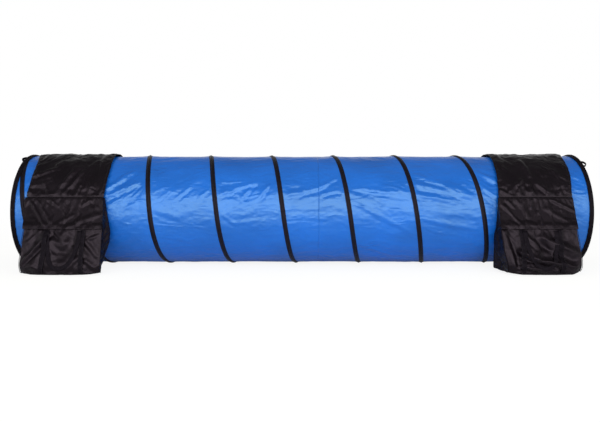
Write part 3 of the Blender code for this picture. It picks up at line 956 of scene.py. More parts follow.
class TUNNEL_OT_spiral(bpy.types.Operator):
    """Make the spring wire, the webbing tape over it and the tape's stitches"""

    bl_idname = "tunnel.spiral"
    bl_label = "Spiral wire and tape"

    def execute(self, context):
        sizes = context.scene.tunnel_sizes
        tape = tape_mesh(sizes)
        line, _, _ = spiral_line(sizes, sizes.wire_ring, WIRE_TURNS, 5.0)
        wire = grown("whole_wire", [line], wire_tree,
                     {"Radius": sizes.wire_radius, "Material": finish("spring_steel")})
        inset = sizes.tape_width / 2 - 0.003
        surface = SLEEVE_RADIUS + 0.0004 + sizes.tape_thickness
        tape_turns = (sizes.first_turn, sizes.last_turn)
        rows = [spiral_line(sizes, surface, tape_turns, shift=side * inset)[0] for side in (-1, 1)]
        bare = bare_end(sizes)
        for stretch in STRETCHES:
            name, _, _, low, high = stretch
            low_bare, high_bare = max(low, -bare), min(high, bare)
            covered = between(tape, max(low, -TAPE_END), min(high, TAPE_END), name)
            piece = add_object(f"tape_{name}", covered, finish("tape"))
            piece.data.shade_smooth()
            follow(piece, stretch, "spiral_tape")
            core = between(wire.data, low_bare, high_bare, name)
            follow(add_object(f"wire_{name}", core, finish("spring_steel")), stretch,
                   "spring_wire")
            follow(stitched(f"tape_stitches_{name}", rows, low_bare, high_bare), stretch)
        bpy.data.objects.remove(wire)
        return {"FINISHED"}


# The mouths

def around_ring(profile, seed, sections, name, material):
    """A closed ring round the tunnel from a closed profile of (x, radius), slightly uneven."""
    angle = np.linspace(0, TURN, sections + 1)[:-1]
    profile = np.array(profile)
    x = profile[:, :1] + 0.0006 * noise(angle / TURN * 40, 0 * angle, 91)
    radius = profile[:, 1:] + 0.0006 * noise(angle / TURN * 14, 0 * angle, seed)
    points = ring_points(x, angle, radius)
    closed = np.concatenate([points, points[:1]])
    girth = distances(profile)
    places = corner_places(np.append(girth, girth[-1] + 0.001), angle * BINDING_RADIUS, wrap=True)[:, :, ::-1]
    mesh = mesh_of(name, closed.reshape(-1, 3), grid_faces(len(closed), sections, wrap=True), places)
    return add_object(name, mended(mesh, 1e-6), material)


def binding_profile(sign, width):
    """The folded tape at a mouth: it bulges over the hoop and lies flat along the sleeve."""
    steps, wall = 12, 0.0013
    face = sign * MOUTH_X
    outside, inside = [], []
    for step in range(steps + 1):
        back = step / steps * width
        flat = 1 - math.exp(-((back - 0.006) / 0.008) ** 2)
        x = face - sign * max(back, 0.0012)
        outside.append((x, BINDING_RADIUS - 0.0058 * flat * min(1, step / steps * 4)))
        inside.append((x, BINDING_RADIUS - 0.0137 + 0.0028 * flat))
    nose = [(face, BINDING_RADIUS - 0.0035), (face, BINDING_RADIUS - 0.0100)]
    web = [(face - sign * 0.0016, BINDING_RADIUS - drop) for drop in (0.0090, 0.0050)]
    inner_back = [(x, radius + wall) for x, radius in inside[:1:-1]]
    outer_back = [(x, radius - wall) for x, radius in outside[2:]]
    return nose + inside + inner_back + web + outer_back + outside[::-1]


class TUNNEL_OT_mouths(bpy.types.Operator):
    """Make the bound mouths with their hoops, crimps, stitches and closing loops"""

    bl_idname = "tunnel.mouths"
    bl_label = "Mouths"

    def execute(self, context):
        sizes = context.scene.tunnel_sizes
        for side, sign in zip(SIDES, (-1, 1)):
            body = f"{side}_end"
            profile = binding_profile(sign, sizes.binding)
            binding = around_ring(profile, 100 + sign, 288, f"{side}_bound_edge", finish("webbing"))
            carried(binding, body, f"{side}_mouth_binding")
            for node in ("mouth_hoop", "hoop_crimp"):
                steel = frame["nodes"][f"{side}_{node}"]
                steel.data.materials.clear()
                steel.data.materials.append(finish("spring_steel"))
            angle = np.linspace(0, TURN, 240)
            row = ring_points(sign * (MOUTH_X - sizes.binding + 0.004), angle, BINDING_RADIUS - 0.0056)
            carried(stitched(f"{side}_mouth_stitches", [row]), body)
            self.closing_loop(side, body)
        return {"FINISHED"}

    def closing_loop(self, side, body):
        """The arch of webbing at a mouth's edge, a band bent round from foot to foot."""
        low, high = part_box(f"{side}_closing_loop")
        middle = (low + high) / 2
        out = Vector((0, middle.y, middle.z - AXIS_Z)).normalized()
        along = out.cross(Vector((1, 0, 0)))
        sign = 1 if side == "right" else -1
        foot_x = low.x if sign > 0 else high.x
        reach = high.x - low.x
        span, width, thick = 0.042, 0.012, 0.0014
        centre = Vector((foot_x, 0, AXIS_Z)) + out * 0.302
        arc = np.linspace(0, math.pi, 33)
        section = [(0, -1), (0, -0.4), (0, 0.4), (0, 1), (1, 1), (1, 0.4), (1, -0.4), (1, -1)]
        rows = []
        for turn in arc:
            ring = []
            for deep, across in section:
                sink = thick * (deep if abs(across) < 1 else 0.25 + 0.5 * deep)
                place = (
                    centre
                    + along * math.cos(turn) * (span / 2 - sink)
                    + Vector((sign, 0, 0)) * math.sin(turn) ** 0.8 * (reach - sink)
                    + out * across * width / 2
                )
                ring.append(place)
            rows.append(ring)
        points = np.array(rows)
        bent = 0.066
        lengths = np.linspace(0, bent, len(arc))
        places = corner_places(lengths, np.linspace(0, 2 * width, len(section)), wrap=True)
        faces = grid_faces(len(arc), len(section), wrap=True)
        mesh = mended(mesh_of(f"{side}_tie_loop", points.reshape(-1, 3), faces, places))
        loop = add_object(f"{side}_tie_loop", mesh, finish("webbing"))
        carried(loop, body, f"{side}_closing_loop")


# The bags

# The saddle's seam to the pouches, its radius there, and its radius where it lies on the sleeve
SADDLE_SEAM = math.radians(14.3)
SADDLE_SEAM_RADIUS = 0.3140
SADDLE_REST = 0.3078

POUCH_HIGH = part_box("left_front_pouch")[1]
FLAP_LOW, FLAP_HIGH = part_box("left_front_flap")

# A pouch's shape by height: its open mouth, how far out its front and back are, how far the front
# bulges in its middle, and how much its corners are rounded
MOUTH = (0.262, 0.378)
FRONT_LINE = [
    (0.0, 0.418), (0.012, 0.430), (0.045, 0.436), (0.085, 0.427), (0.150, 0.410), (0.225, 0.3893),
    (0.3845, 0.3145),
]
BACK_LINE = [(0.0, 0.325), (0.010, 0.3125), (0.330, 0.3125), (0.3845, 0.3065)]
PLAN_BULGE = [(0.0, 0.012), (0.05, 0.011), (0.15, 0.007), (0.226, 0.0015), (0.3, 0.0)]
PLAN_CORNER = [(0.0, 0.022), (0.1, 0.011), (0.226, 0.003), (0.3, 0.0)]
ACROSS_STEPS = 52
SIDE_STEPS = 13

# The flap's lip over the pouch's top edge, as (out, height), and how far the flap hangs off the pouch
FLAP_LIP = [(0.3080, 0.3866), (0.3125, 0.3872), (0.3165, 0.3866)]
FLAP_GAP = 0.0050

# The handle's line as (height, out) at its top and at its lowest place, and how far out it may stand
HANDLE_TOP = (0.221, 0.397)
HANDLE_FOOT = (0.036, 0.445)
HANDLE_REACH = 0.4565

# Of simulated cloth: over how many cells its slow changes are taken out, the highest fold that is kept,
# how far it stands off what carries it, and how far its points may slide sideways
TREND_CELLS = 11
FOLD_LIMIT = 0.0048
STAND_OFF = 0.0022
SLIDE_LIMIT = 0.004

# Each pouch's edges by height, as distances from the tunnel's middle, and its strongest folds. The two
# forms lie differently.
BAG_EDGES = {
    "wide": {
        "inner_front": [(0.0, 1.024), (0.226, 1.021), (0.386, 1.034)],
        "inner_back": [(0.0, 1.036), (0.05, 1.027), (0.13, 1.003), (0.21, 0.998), (0.386, 1.030)],
        "outer_front": [(0.0, 1.427), (0.226, 1.421), (0.386, 1.440)],
        "outer_back": [(0.0, 1.412), (0.2, 1.424), (0.386, 1.438)],
        "back_lift": 0.050,
        "folds": [
            ((1.296, 0.200), (1.420, 0.062), 0.012, 0.016), ((1.330, 0.226), (1.402, 0.160), 0.009, 0.005),
            ((1.180, 0.158), (1.302, 0.168), 0.026, 0.013), ((1.185, 0.066), (1.290, 0.060), 0.017, 0.007),
            ((1.088, 0.181), (1.028, 0.202), 0.008, 0.008), ((1.036, 0.092), (1.106, 0.176), 0.011, 0.009),
            ((1.033, 0.030), (1.098, 0.080), 0.011, 0.008), ((1.225, 0.190), (1.262, 0.214), 0.009, 0.004),
            ((1.340, 0.070), (1.415, 0.020), 0.012, 0.005), ((1.120, 0.100), (1.180, 0.040), 0.013, 0.005),
        ],
    },
    "narrow": {
        "inner_front": [(0.0, 1.046), (0.04, 1.0445), (0.12, 1.028), (0.225, 1.0136), (0.386, 1.020)],
        "inner_back": [(0.0, 0.994), (0.1, 0.997), (0.2, 1.000), (0.227, 1.009), (0.386, 1.024)],
        "outer_front": [(0.0, 1.412), (0.10, 1.4145), (0.226, 1.4035), (0.386, 1.407)],
        "outer_back": [(0.0, 1.398), (0.226, 1.409), (0.386, 1.410)],
        "back_lift": 0.020,
        "folds": [
            ((1.092, 0.124), (1.188, 0.084), 0.013, 0.017), ((1.186, 0.084), (1.306, 0.062), 0.012, 0.016),
            ((1.212, 0.192), (1.396, 0.108), 0.021, 0.018), ((1.066, 0.050), (1.026, 0.218), 0.017, 0.017),
            ((1.128, 0.205), (1.192, 0.148), 0.012, 0.007), ((1.300, 0.078), (1.398, 0.040), 0.010, 0.008),
            ((1.100, 0.052), (1.250, 0.018), 0.012, 0.006), ((1.045, 0.216), (1.080, 0.166), 0.007, 0.006),
        ],
    },
}

# The strongest folds of the flaps and of the saddles, as those of the pouches
FLAP_FOLDS = {
    "wide": [
        ((1.318, 0.250), (1.404, 0.360), 0.008, 0.0060), ((1.288, 0.262), (1.376, 0.372), 0.009, 0.0045),
        ((1.262, 0.338), (1.312, 0.376), 0.008, 0.0040), ((1.100, 0.372), (1.140, 0.340), 0.010, 0.0045),
        ((1.050, 0.300), (1.160, 0.262), 0.016, 0.0050), ((1.170, 0.300), (1.250, 0.262), 0.012, 0.0035),
    ],
    "narrow": [
        ((1.040, 0.344), (1.114, 0.258), 0.008, 0.0060), ((1.292, 0.374), (1.394, 0.320), 0.008, 0.0060),
        ((1.182, 0.328), (1.192, 0.376), 0.009, 0.0040), ((1.060, 0.372), (1.098, 0.332), 0.008, 0.0040),
        ((1.130, 0.360), (1.160, 0.280), 0.016, 0.0045), ((1.250, 0.330), (1.360, 0.268), 0.013, 0.0035),
    ],
}
SADDLE_FOLDS = {
    "wide": [
        ((1.309, 0.086), (1.226, 0.222), 0.014, 0.0095), ((1.222, 0.138), (1.166, 0.232), 0.012, 0.0075),
        ((1.324, 0.246), (1.430, 0.196), 0.013, 0.0060), ((1.364, 0.160), (1.314, 0.086), 0.013, 0.0065),
        ((1.255, 0.092), (1.232, 0.140), 0.009, 0.0050), ((1.190, 0.084), (1.170, 0.150), 0.009, 0.0055),
        ((1.130, 0.084), (1.108, 0.150), 0.009, 0.0055), ((1.084, 0.190), (1.088, 0.300), 0.011, 0.0050),
        ((1.150, 0.250), (1.110, 0.330), 0.014, 0.0040), ((1.060, 0.084), (1.052, 0.140), 0.008, 0.0040),
    ],
    "narrow": [
        ((1.162, 0.176), (1.084, 0.102), 0.012, 0.0080), ((1.236, 0.158), (1.312, 0.078), 0.011, 0.0085),
        ((1.214, 0.196), (1.184, 0.320), 0.016, 0.0080), ((1.102, 0.078), (1.038, 0.118), 0.009, 0.0055),
        ((1.206, 0.082), (1.202, 0.150), 0.010, 0.0065), ((1.250, 0.166), (1.296, 0.120), 0.008, 0.0045),
        ((1.140, 0.082), (1.140, 0.128), 0.009, 0.0050), ((1.330, 0.240), (1.400, 0.180), 0.014, 0.0050),
        ((1.080, 0.260), (1.130, 0.210), 0.014, 0.0045), ((1.360, 0.084), (1.352, 0.140), 0.009, 0.0040),
    ],
}

# The saddles' edges by angle in degrees, up to their top, as distances from the tunnel's middle
SADDLE_EDGES = {
    "wide": {
        "inner": [(14.7, 1.036), (25, 1.037), (44, 1.027), (65, 1.039)],
        "outer": [(14.7, 1.440), (31.5, 1.437), (48, 1.431), (66, 1.448), (80, 1.472)],
        "top": (1.046, 1.492),
    },
    "narrow": {
        "inner": [(14.7, 1.025), (26, 1.032), (42, 1.035), (65, 1.0465)],
        "outer": [(14.7, 1.409), (48, 1.436), (65, 1.428), (80, 1.455)],
        "top": (1.0547, 1.477),
    },
}
BAG_PLACES = [(side, face) for side in SIDES for face in FACES]


def kind_of(side, face):
    """Which of the two forms a pouch has. The same form is turned half round for the other side."""
    return "wide" if (side == "left") == (face == "front") else "narrow"


def placed(points, side, face):
    """Points given as distance along, distance out and height, put at one pouch."""
    signs = (-1 if side == "left" else 1, -1 if face == "front" else 1, 1)
    return np.asarray(points, float) * signs


def line_value(pairs, at):
    """A value read from a line of (place, value) pairs."""
    return np.interp(at, *np.array(pairs, float).T)


def rounded_value(pairs, at, reach):
    """The same, with the line's corners rounded over a reach to each side."""
    return sum(line_value(pairs, at + step * reach) for step in (-1.0, -0.5, 0.0, 0.5, 1.0)) / 5


def bag_point(kind, height, back, across):
    """A point of the pouch. back runs from 0, the front, to 1; across from -1, the inner side, to 1."""
    edges = BAG_EDGES[kind]
    inner, outer = (
        (1 - back) * line_value(edges[f"{name}_front"], height)
        + back * line_value(edges[f"{name}_back"], height)
        for name in ("inner", "outer")
    )
    along = (inner + outer) / 2 + across * (outer - inner) / 2
    pull = 0.011 * np.sin(math.pi * back) * line_value([(0, 0.2), (0.1, 1), (0.3, 0.7), (0.386, 0)], height)
    along = along - np.sign(across) * np.abs(across) ** 8 * pull
    front = (
        line_value(FRONT_LINE, height)
        + line_value(PLAN_BULGE, height) * (1 - np.abs(across) ** 2.4)
        - line_value(PLAN_CORNER, height) * np.abs(across) ** 5
    )
    out = (1 - back) * front + back * line_value(BACK_LINE, height)
    lift = 0.010 * np.abs(across) ** 4 * (1 - back)
    lift = lift + edges["back_lift"] * np.clip(-across, 0, 1) ** 1.5 * back
    return np.stack([along, out, height + lift * np.clip(1 - height / 0.22, 0, 1)], -1)


def relaxed(points, faces, held, growth, pressure, gravity, bending, frames):
    """Points of a cloth a little too big for its frame, after a simulation has let it buckle into folds."""
    draft = add_object("draft", mesh_of("draft", points, faces))
    group = draft.vertex_groups.new(name="held")
    levels = np.round(held, 2)
    for level in np.unique(levels[levels > 0]):
        group.add(np.nonzero(levels == level)[0].tolist(), float(level), "REPLACE")
    modifier = draft.modifiers.new("cloth", "CLOTH")
    modifier.point_cache.frame_start = 1
    modifier.point_cache.frame_end = frames
    cloth = modifier.settings
    cloth.quality = 4
    cloth.mass = 0.1
    cloth.tension_stiffness = 30
    cloth.compression_stiffness = 30
    cloth.shear_stiffness = 12
    cloth.bending_stiffness = bending
    cloth.air_damping = 2
    cloth.vertex_group_mass = "held"
    cloth.pin_stiffness = 1
    cloth.shrink_min = -growth
    cloth.use_pressure = pressure != 0
    cloth.uniform_pressure_force = pressure
    cloth.effector_weights.gravity = gravity
    modifier.collision_settings.use_collision = False
    modifier.collision_settings.use_self_collision = False
    scene = bpy.context.scene
    for number in range(1, frames + 1):
        scene.frame_set(number)
    buckled = draft.evaluated_get(bpy.context.evaluated_depsgraph_get()).data
    result = np.empty(len(points) * 3, np.float32)
    buckled.vertices.foreach_get("co", result)
    mesh = draft.data
    bpy.data.objects.remove(draft)
    bpy.data.meshes.remove(mesh)
    scene.frame_set(1)
    return result.reshape(-1, 3).astype(float)


def capped(start, moved, outward, low, high, sideways):
    """Keep each point's move between two limits along its outward direction, and short sideways."""
    move = moved - start
    out = (move * outward).sum(-1, keepdims=True)
    side = move - out * outward
    length = np.linalg.norm(side, axis=-1, keepdims=True)
    side *= np.minimum(1, sideways / np.maximum(length, 1e-9))
    return start + np.clip(out, np.reshape(low, (-1, 1)), np.reshape(high, (-1, 1))) * outward + side


def without_trend(values, reach):
    """A grid of heights with its slow changes taken out, as far as some cells to each side."""
    window = np.ones(2 * reach + 1) / (2 * reach + 1)
    slow = values
    for axis in (0, 1):
        slow = np.apply_along_axis(
            lambda line: np.convolve(np.pad(line, reach, "edge"), window, "valid"), axis, slow
        )
    return values - slow


def settled(base, moved, outward, free, relief, limits):
    """A simulated cloth's folds, where it is free, with finer relief. Both stay between limits together."""
    flat, out = base.reshape(-1, 3), np.broadcast_to(outward, base.shape).reshape(-1, 3)
    points = capped(flat, moved, out, -FAR_OFF, FAR_OFF, SLIDE_LIMIT)
    rise = ((points - flat) * out).sum(-1)
    folds = without_trend(rise.reshape(relief.shape), TREND_CELLS)
    folds = FOLD_LIMIT * np.tanh(folds / FOLD_LIMIT) + STAND_OFF
    total = np.clip(free * folds + relief, *limits).ravel()
    return (points + (total - rise)[:, None] * out).reshape(base.shape)


def point_normals(points, faces):
    """The normal at each point of a grid of four-cornered faces."""
    a, b, c, d = (points[faces[:, k]] for k in range(4))
    normals = np.cross(c - a, d - b)
    total = np.zeros_like(points)
    for k in range(4):
        np.add.at(total, faces[:, k], normals)
    return total / np.maximum(np.linalg.norm(total, axis=1, keepdims=True), 1e-12)


def pouch_relief(kind, points, back, across, seed):
    """How far the pouch's front and sides stand out in folds."""
    along, height = points[..., 0], points[..., 2]
    free = eased((MOUTH[0] + 0.02 - height) / 0.05) * eased(height / 0.03)
    flapless = eased((FLAP_LOW.z + 0.004 - height) / 0.02)
    big = creases(along * 9 + height * 5 + 4, height * 9 - along * 4 + 40, seed, 64, 2.4)
    small = creases(along * 24 - height * 10, height * 22 + along * 9 + 20, seed + 5, 64, 1.8)
    front = 0.0042 * big + 0.0016 * small
    front = front + fold_lines(along, height, BAG_EDGES[kind]["folds"])
    front = front * (1 - np.abs(across) ** 8) * (0.12 + 0.88 * flapless)
    gusset = 0.0060 * creases(back * 1.6 + 7, height * 13 + 30, seed + 9, 64, 2.2)
    gusset = gusset + 0.0030 * noise(back * 4, height * 34, seed + 11)
    return free * front, free * gusset * np.sin(math.pi * back)


@functools.cache
def pouch_grid(kind):
    """The pouch as rows down and columns round it, with its bottom: points, faces, cloth places, corners."""
    lower = np.linspace(0, 1, 600) * MOUTH[0]
    length = distances(np.column_stack([lower, line_value(FRONT_LINE, lower)]))
    low_rows = np.interp(np.linspace(length[-1], 0, 38), length, lower)[1:]
    mouth_rows = np.linspace(MOUTH[1], MOUTH[0], 17)
    heights = np.concatenate([[POUCH_HIGH.z - 0.0015], mouth_rows, low_rows])
    ahead, aside = np.linspace(-1, 1, ACROSS_STEPS + 1), np.linspace(0, 1, SIDE_STEPS + 1)
    across = np.concatenate([ahead[:-1], np.ones(SIDE_STEPS), ahead[:0:-1], -np.ones(SIDE_STEPS)])
    back = np.concatenate([np.ones(ACROSS_STEPS), aside[:0:-1], np.zeros(ACROSS_STEPS), aside[:-1]])
    grid_z, grid_q = np.meshgrid(heights, across, indexing="ij")
    grid_b = np.broadcast_to(back, grid_z.shape)
    walls = bag_point(kind, grid_z, grid_b, grid_q)
    front, gusset = pouch_relief(kind, walls, grid_b, grid_q, 200 if kind == "wide" else 300)
    is_front = grid_b == 0
    walls[..., 1] += np.where(is_front, front * 0.93, 0)
    walls[..., 2] += np.where(is_front, front * 0.25, 0)
    walls[..., 0] += np.where(np.abs(grid_q) == 1, gusset * np.sign(grid_q), 0)
    columns = len(across)
    faces = grid_faces(len(heights), columns, wrap=True)
    step = 0.41 / ACROSS_STEPS
    places = corner_places(-heights, np.arange(columns) * step, wrap=True)
    in_mouth = (heights[:-1] <= MOUTH[1] + 1e-6) & (heights[1:] >= MOUTH[0] - 1e-6)
    first_front = ACROSS_STEPS + SIDE_STEPS
    column = np.arange(columns)
    open_front = (column >= first_front) & (column < first_front + ACROSS_STEPS)
    keep = ~(in_mouth[:, None] & open_front[None, :]).ravel()
    floor_b, floor_q = np.meshgrid(1 - aside, ahead, indexing="ij")
    floor = bag_point(kind, np.zeros_like(floor_b), floor_b, floor_q)
    last = (len(heights) - 1) * columns
    index = np.full(floor_b.shape, -1)
    index[0, :-1] = last + column[:ACROSS_STEPS]
    index[:, -1] = last + ACROSS_STEPS + np.arange(SIDE_STEPS + 1)
    index[-1, :] = last + first_front + ACROSS_STEPS - np.arange(ACROSS_STEPS + 1)
    index[1:-1, 0] = last + columns - np.arange(1, SIDE_STEPS)
    fresh = index < 0
    index[fresh] = walls.size // 3 + np.arange(fresh.sum())
    floor_corners = [index[:-1, :-1], index[1:, :-1], index[1:, 1:], index[:-1, 1:]]
    floor_faces = np.stack(floor_corners, -1).reshape(-1, 4)
    floor_places = corner_places(aside * 0.1 + 2, ahead * 0.2)
    points = np.concatenate([walls.reshape(-1, 3), floor[fresh]])
    all_faces = np.concatenate([faces[keep], floor_faces])
    under_flap = eased((walls[..., 2] - FLAP_LOW.z + 0.012) / 0.012) * is_front
    held = np.maximum(grid_b > 0.99, eased((walls[..., 2] - 0.345) / 0.02))
    held = np.maximum(held, 0.85 * under_flap)
    held = np.concatenate([held.ravel(), np.full(fresh.sum(), 0.9)])
    room = np.where(grid_b > 0.99, 0.0004, 0.0105 - 0.0092 * under_flap)
    room = np.concatenate([room.ravel(), np.zeros(fresh.sum())])
    moved = relaxed(points, all_faces, held, growth=0.055, pressure=1.2, gravity=0.4, bending=0.06, frames=18)
    outward = point_normals(points, all_faces)
    points = capped(points, moved, outward, low=-0.009, high=room, sideways=0.007)
    points[:, 2] = np.maximum(points[:, 2], 0.0006)
    all_places = np.concatenate([places[keep], floor_places])
    corners = np.arange(len(heights))[:, None] * columns + first_front + np.array([0, ACROSS_STEPS])
    return points, all_faces, all_places, corners, heights


def cloth_piece(name, points, faces, places, flip):
    """A bag's cloth from a coarse grid: smoothed once, given its thickness inwards, and made plain."""
    order = faces[:, ::-1] if flip else faces
    corners = places[:, ::-1] if flip else places
    obj = add_object(name, mesh_of(name, points, order, corners), finish("bag_cloth"))
    smooth = obj.modifiers.new("smooth", "SUBSURF")
    smooth.levels = 1
    smooth.render_levels = 1
    wall = obj.modifiers.new("wall", "SOLIDIFY")
    wall.thickness = bpy.context.scene.bag_sizes.cloth
    wall.offset = -1
    return plain_copy(obj)


def saddle_grid(side):
    """The cloth over the tunnel between two pouches: rows over the top, columns along the tunnel."""
    front, rear = ("wide", "narrow") if side == "left" else ("narrow", "wide")
    angle = np.linspace(SADDLE_SEAM, math.pi - SADDLE_SEAM, 150)
    share = np.linspace(0, 1, 76)
    grid_t, grid_s = np.meshgrid(angle, share, indexing="ij")
    edges = []
    for name, top in zip(("inner", "outer"), SADDLE_EDGES[front]["top"]):
        behind = [(180 - t, s) for t, s in reversed(SADDLE_EDGES[rear][name])]
        pairs = SADDLE_EDGES[front][name] + [(90, top)] + behind
        edges.append(rounded_value(pairs, np.degrees(grid_t), reach=11))
    along = edges[0] * (1 - grid_s) + edges[1] * grid_s
    seed = 400 if side == "left" else 450
    run = SADDLE_REST * np.minimum(grid_t - SADDLE_SEAM, math.pi - SADDLE_SEAM - grid_t)
    turned_u = along * 8 + grid_t * 1.6
    turned_v = grid_t * 2.2 - along * 5
    broad = creases(turned_u, turned_v + 20, seed, 64, 2.6)
    middle = creases(along * 17 - grid_t * 2, grid_t * 5 + along * 6 + 20, seed + 3, 64, 2.0)
    gather = np.maximum(0, creases(along * 34, grid_t * 2.5 + along * 2 + 12, seed + 7, 64, 1.5))
    gather = gather * np.exp(-((run - 0.030) / 0.030) ** 2) * eased(run / 0.012)
    free = eased(run / 0.03)
    relief = 0.0034 * broad * free + 0.0026 * middle * free + 0.0060 * gather
    relief = relief + 0.0008 * (np.minimum(grid_s, 1 - grid_s) < 0.028)
    for kind, round_it in ((front, grid_t), (rear, math.pi - grid_t)):
        relief = relief + fold_lines(along, SADDLE_REST * round_it, SADDLE_FOLDS[kind]) * free
    sign = -1 if side == "left" else 1
    sizes = bpy.context.scene.tunnel_sizes
    rest = SADDLE_SEAM_RADIUS + (SADDLE_REST - SADDLE_SEAM_RADIUS) * eased(run / 0.05)
    rest = rest + out_of_round(sign * along, grid_t, sizes) * free
    base = ring_points(sign * along, grid_t, rest + 0.001)
    outward = ring_points(0 * along, grid_t, 1.0) - (0, 0, AXIS_Z)
    faces = grid_faces(*grid_t.shape)
    edge = np.minimum(grid_s, 1 - grid_s)
    held = np.maximum(1 - eased((run - 0.002) / 0.004), 0.3 * (1 - eased(edge / 0.04)))
    moved = relaxed(base.reshape(-1, 3), faces, held.ravel(), growth=0.035, pressure=0.0, gravity=0.0,
                    bending=0.04, frames=16)
    highest = 0.0135 - 0.0075 * np.exp(-(((grid_t - math.pi / 2) / 0.45) ** 2))
    points = settled(base, moved, outward, free, relief, (-0.0006, highest))
    places = corner_places(angle * SADDLE_REST, share * 0.42)
    return points, faces, places, outward


class TUNNEL_OT_saddles(bpy.types.Operator):
    """Make the cloth saddles that carry the pouches over the tunnel"""

    bl_idname = "tunnel.saddles"
    bl_label = "Saddles"

    def execute(self, context):
        for side in SIDES:
            points, faces, places, outward = saddle_grid(side)
            saddle = cloth_piece(f"{side}_saddle_cloth", points.reshape(-1, 3), faces, places,
                                 flip=side == "right")
            body = f"{side}_saddle"
            carried(saddle, body, f"{side}_saddle_panel")
            lifted = points + outward * 0.0004
            rows = [lifted[2], lifted[-3], lifted[:, 2], lifted[:, -3]]
            carried(stitched(f"{side}_saddle_stitches", rows), body)
        return {"FINISHED"}


class TUNNEL_OT_pouches(bpy.types.Operator):
    """Make the four pouches with their mouths and piping"""

    bl_idname = "tunnel.pouches"
    bl_label = "Pouches"

    def execute(self, context):
        piping_radius, proud = 0.0013, 0.0006
        for side, face in BAG_PLACES:
            kind = kind_of(side, face)
            points, faces, places, corners, heights = pouch_grid(kind)
            body = f"{side}_{face}_pouch"
            pouch = cloth_piece(f"{body}_cloth", placed(points, side, face), faces, places,
                                flip=kind == "narrow")
            carried(pouch, body, body)
            shown = heights < MOUTH[0]
            lines = [
                placed(points[corners[shown, k]] + (lean * proud, proud, 0), side, face)
                for k, lean in ((0, 1), (1, -1))
            ]
            piping = grown(f"{body}_piping", lines, wire_tree,
                           {"Radius": piping_radius, "Material": finish("webbing")})
            carried(piping, body)
        return {"FINISHED"}


@functools.cache
def flap_grid(kind):
    """The flap over a pouch's mouth, hanging from its top edge: rows down, columns from inner to outer."""
    top, low = FLAP_HIGH.z - 0.001, FLAP_LOW.z - 0.003
    heights = np.linspace(top, low, 40)
    across = np.linspace(-1, 1, 88)
    (low_z, low_out), (high_z, high_out) = FRONT_LINE[-2:]
    slope = math.atan2(low_out - high_out, high_z - low_z)
    outs = line_value(FRONT_LINE[-2:], heights) + FLAP_GAP * math.cos(slope)
    profile = np.concatenate([FLAP_LIP, np.column_stack([outs, heights])])
    grid_i, grid_q = np.meshgrid(np.arange(len(profile)), across, indexing="ij")
    out, height = profile[grid_i, 0], profile[grid_i, 1]
    edges = BAG_EDGES[kind]
    inner, outer = line_value(edges["inner_front"], height), line_value(edges["outer_front"], height)
    along = (inner + outer) / 2 + grid_q * (outer - inner) / 2
    seed = 500 if kind == "wide" else 550
    down = (top - height) / (top - low)
    slack = eased(down * 3) * (0.35 + 0.65 * down)
    broad = creases(along * 8 + height * 9, height * 7 - along * 5 + 20, seed, 64, 2.4)
    small = creases(along * 21 + height * 12, height * 20 - along * 8 + 20, seed + 3, 64, 1.8)
    gather = np.maximum(0, creases(along * 30, height * 9 + 9, seed + 7, 64, 1.6))
    relief = 0.0030 * broad * slack + 0.0018 * small * slack
    relief = relief + 0.0022 * gather * np.exp(-((down - 0.12) / 0.12) ** 2)
    relief = relief + fold_lines(along, height, FLAP_FOLDS[kind])
    relief = relief + 0.0004 * ((height < low + 0.022) & (height > low - 0.001))
    relief = (relief + 0.0006 * (np.abs(grid_q) > 0.965)) * eased(down * 7 + 0.15)
    wave = 0.0016 * noise(along * 14, 0 * along, seed + 9) * eased(down * 4 - 2)
    base = np.stack([along, out, height + wave], -1)
    faces = grid_faces(*grid_q.shape)
    outward = np.array((0, math.cos(slope), math.sin(slope)))
    held = np.maximum(1 - eased(down * 14), 0.25 * eased((down - 0.8) * 12))
    moved = relaxed(base.reshape(-1, 3), faces, held.ravel(), growth=0.035, pressure=0.4, gravity=0.5,
                    bending=0.04, frames=16)
    points = settled(base, moved, outward, 1.0 * (down >= 0), relief, (-0.0004, 0.0100))
    places = corner_places(-distances(profile), across * 0.2)
    return points, faces, places


class TUNNEL_OT_flaps(bpy.types.Operator):
    """Make the flaps over the pouches' mouths, hemmed and stitched"""

    bl_idname = "tunnel.flaps"
    bl_label = "Flaps"

    def execute(self, context):
        for side, face in BAG_PLACES:
            kind = kind_of(side, face)
            points, faces, places = flap_grid(kind)
            body = f"{side}_{face}_flap"
            flat = placed(points.reshape(-1, 3), side, face)
            flap = cloth_piece(f"{body}_cloth", flat, faces, places, flip=kind == "narrow")
            carried(flap, body, body)
            lifted = points + (0, 0.0005, 0.0002)
            rows = [lifted[-2], lifted[-6], lifted[3:, 2], lifted[3:, -3]]
            rows = [placed(row, side, face) for row in rows]
            carried(stitched(f"{body}_stitches", rows), body)
        return {"FINISHED"}


def ribbon(name, centres, widths, outwards, thickness, material):
    """A closed band of webbing along a line: its centres, half widths across and outward directions."""
    across = np.array([-1.0, -0.85, -0.3, 0.3, 0.85, 1.0])
    lifts = thickness * np.array([0.2, 0.5, 0.5, 0.5, 0.5, 0.2])
    top = [centres + widths * a + outwards * lift for a, lift in zip(across, lifts)]
    under = [centres + widths * a - outwards * lift for a, lift in zip(across[::-1], lifts)]
    grid = np.stack(top + under, 1)
    half = np.linalg.norm(widths[0])
    girth = np.linspace(-half, 3 * half + 0.001, grid.shape[1])
    places = corner_places(distances(centres), girth, wrap=True)
    mesh = mesh_of(name, grid.reshape(-1, 3), grid_faces(len(centres), grid.shape[1], wrap=True), places)
    return add_object(name, mended(mesh), material)


def surface_tree(kind):
    """A search tree of one form of pouch, for what lies on its cloth."""
    points, faces, *_ = pouch_grid(kind)
    return BVHTree.FromPolygons([Vector(p) for p in points], [tuple(f) for f in faces.tolist()])


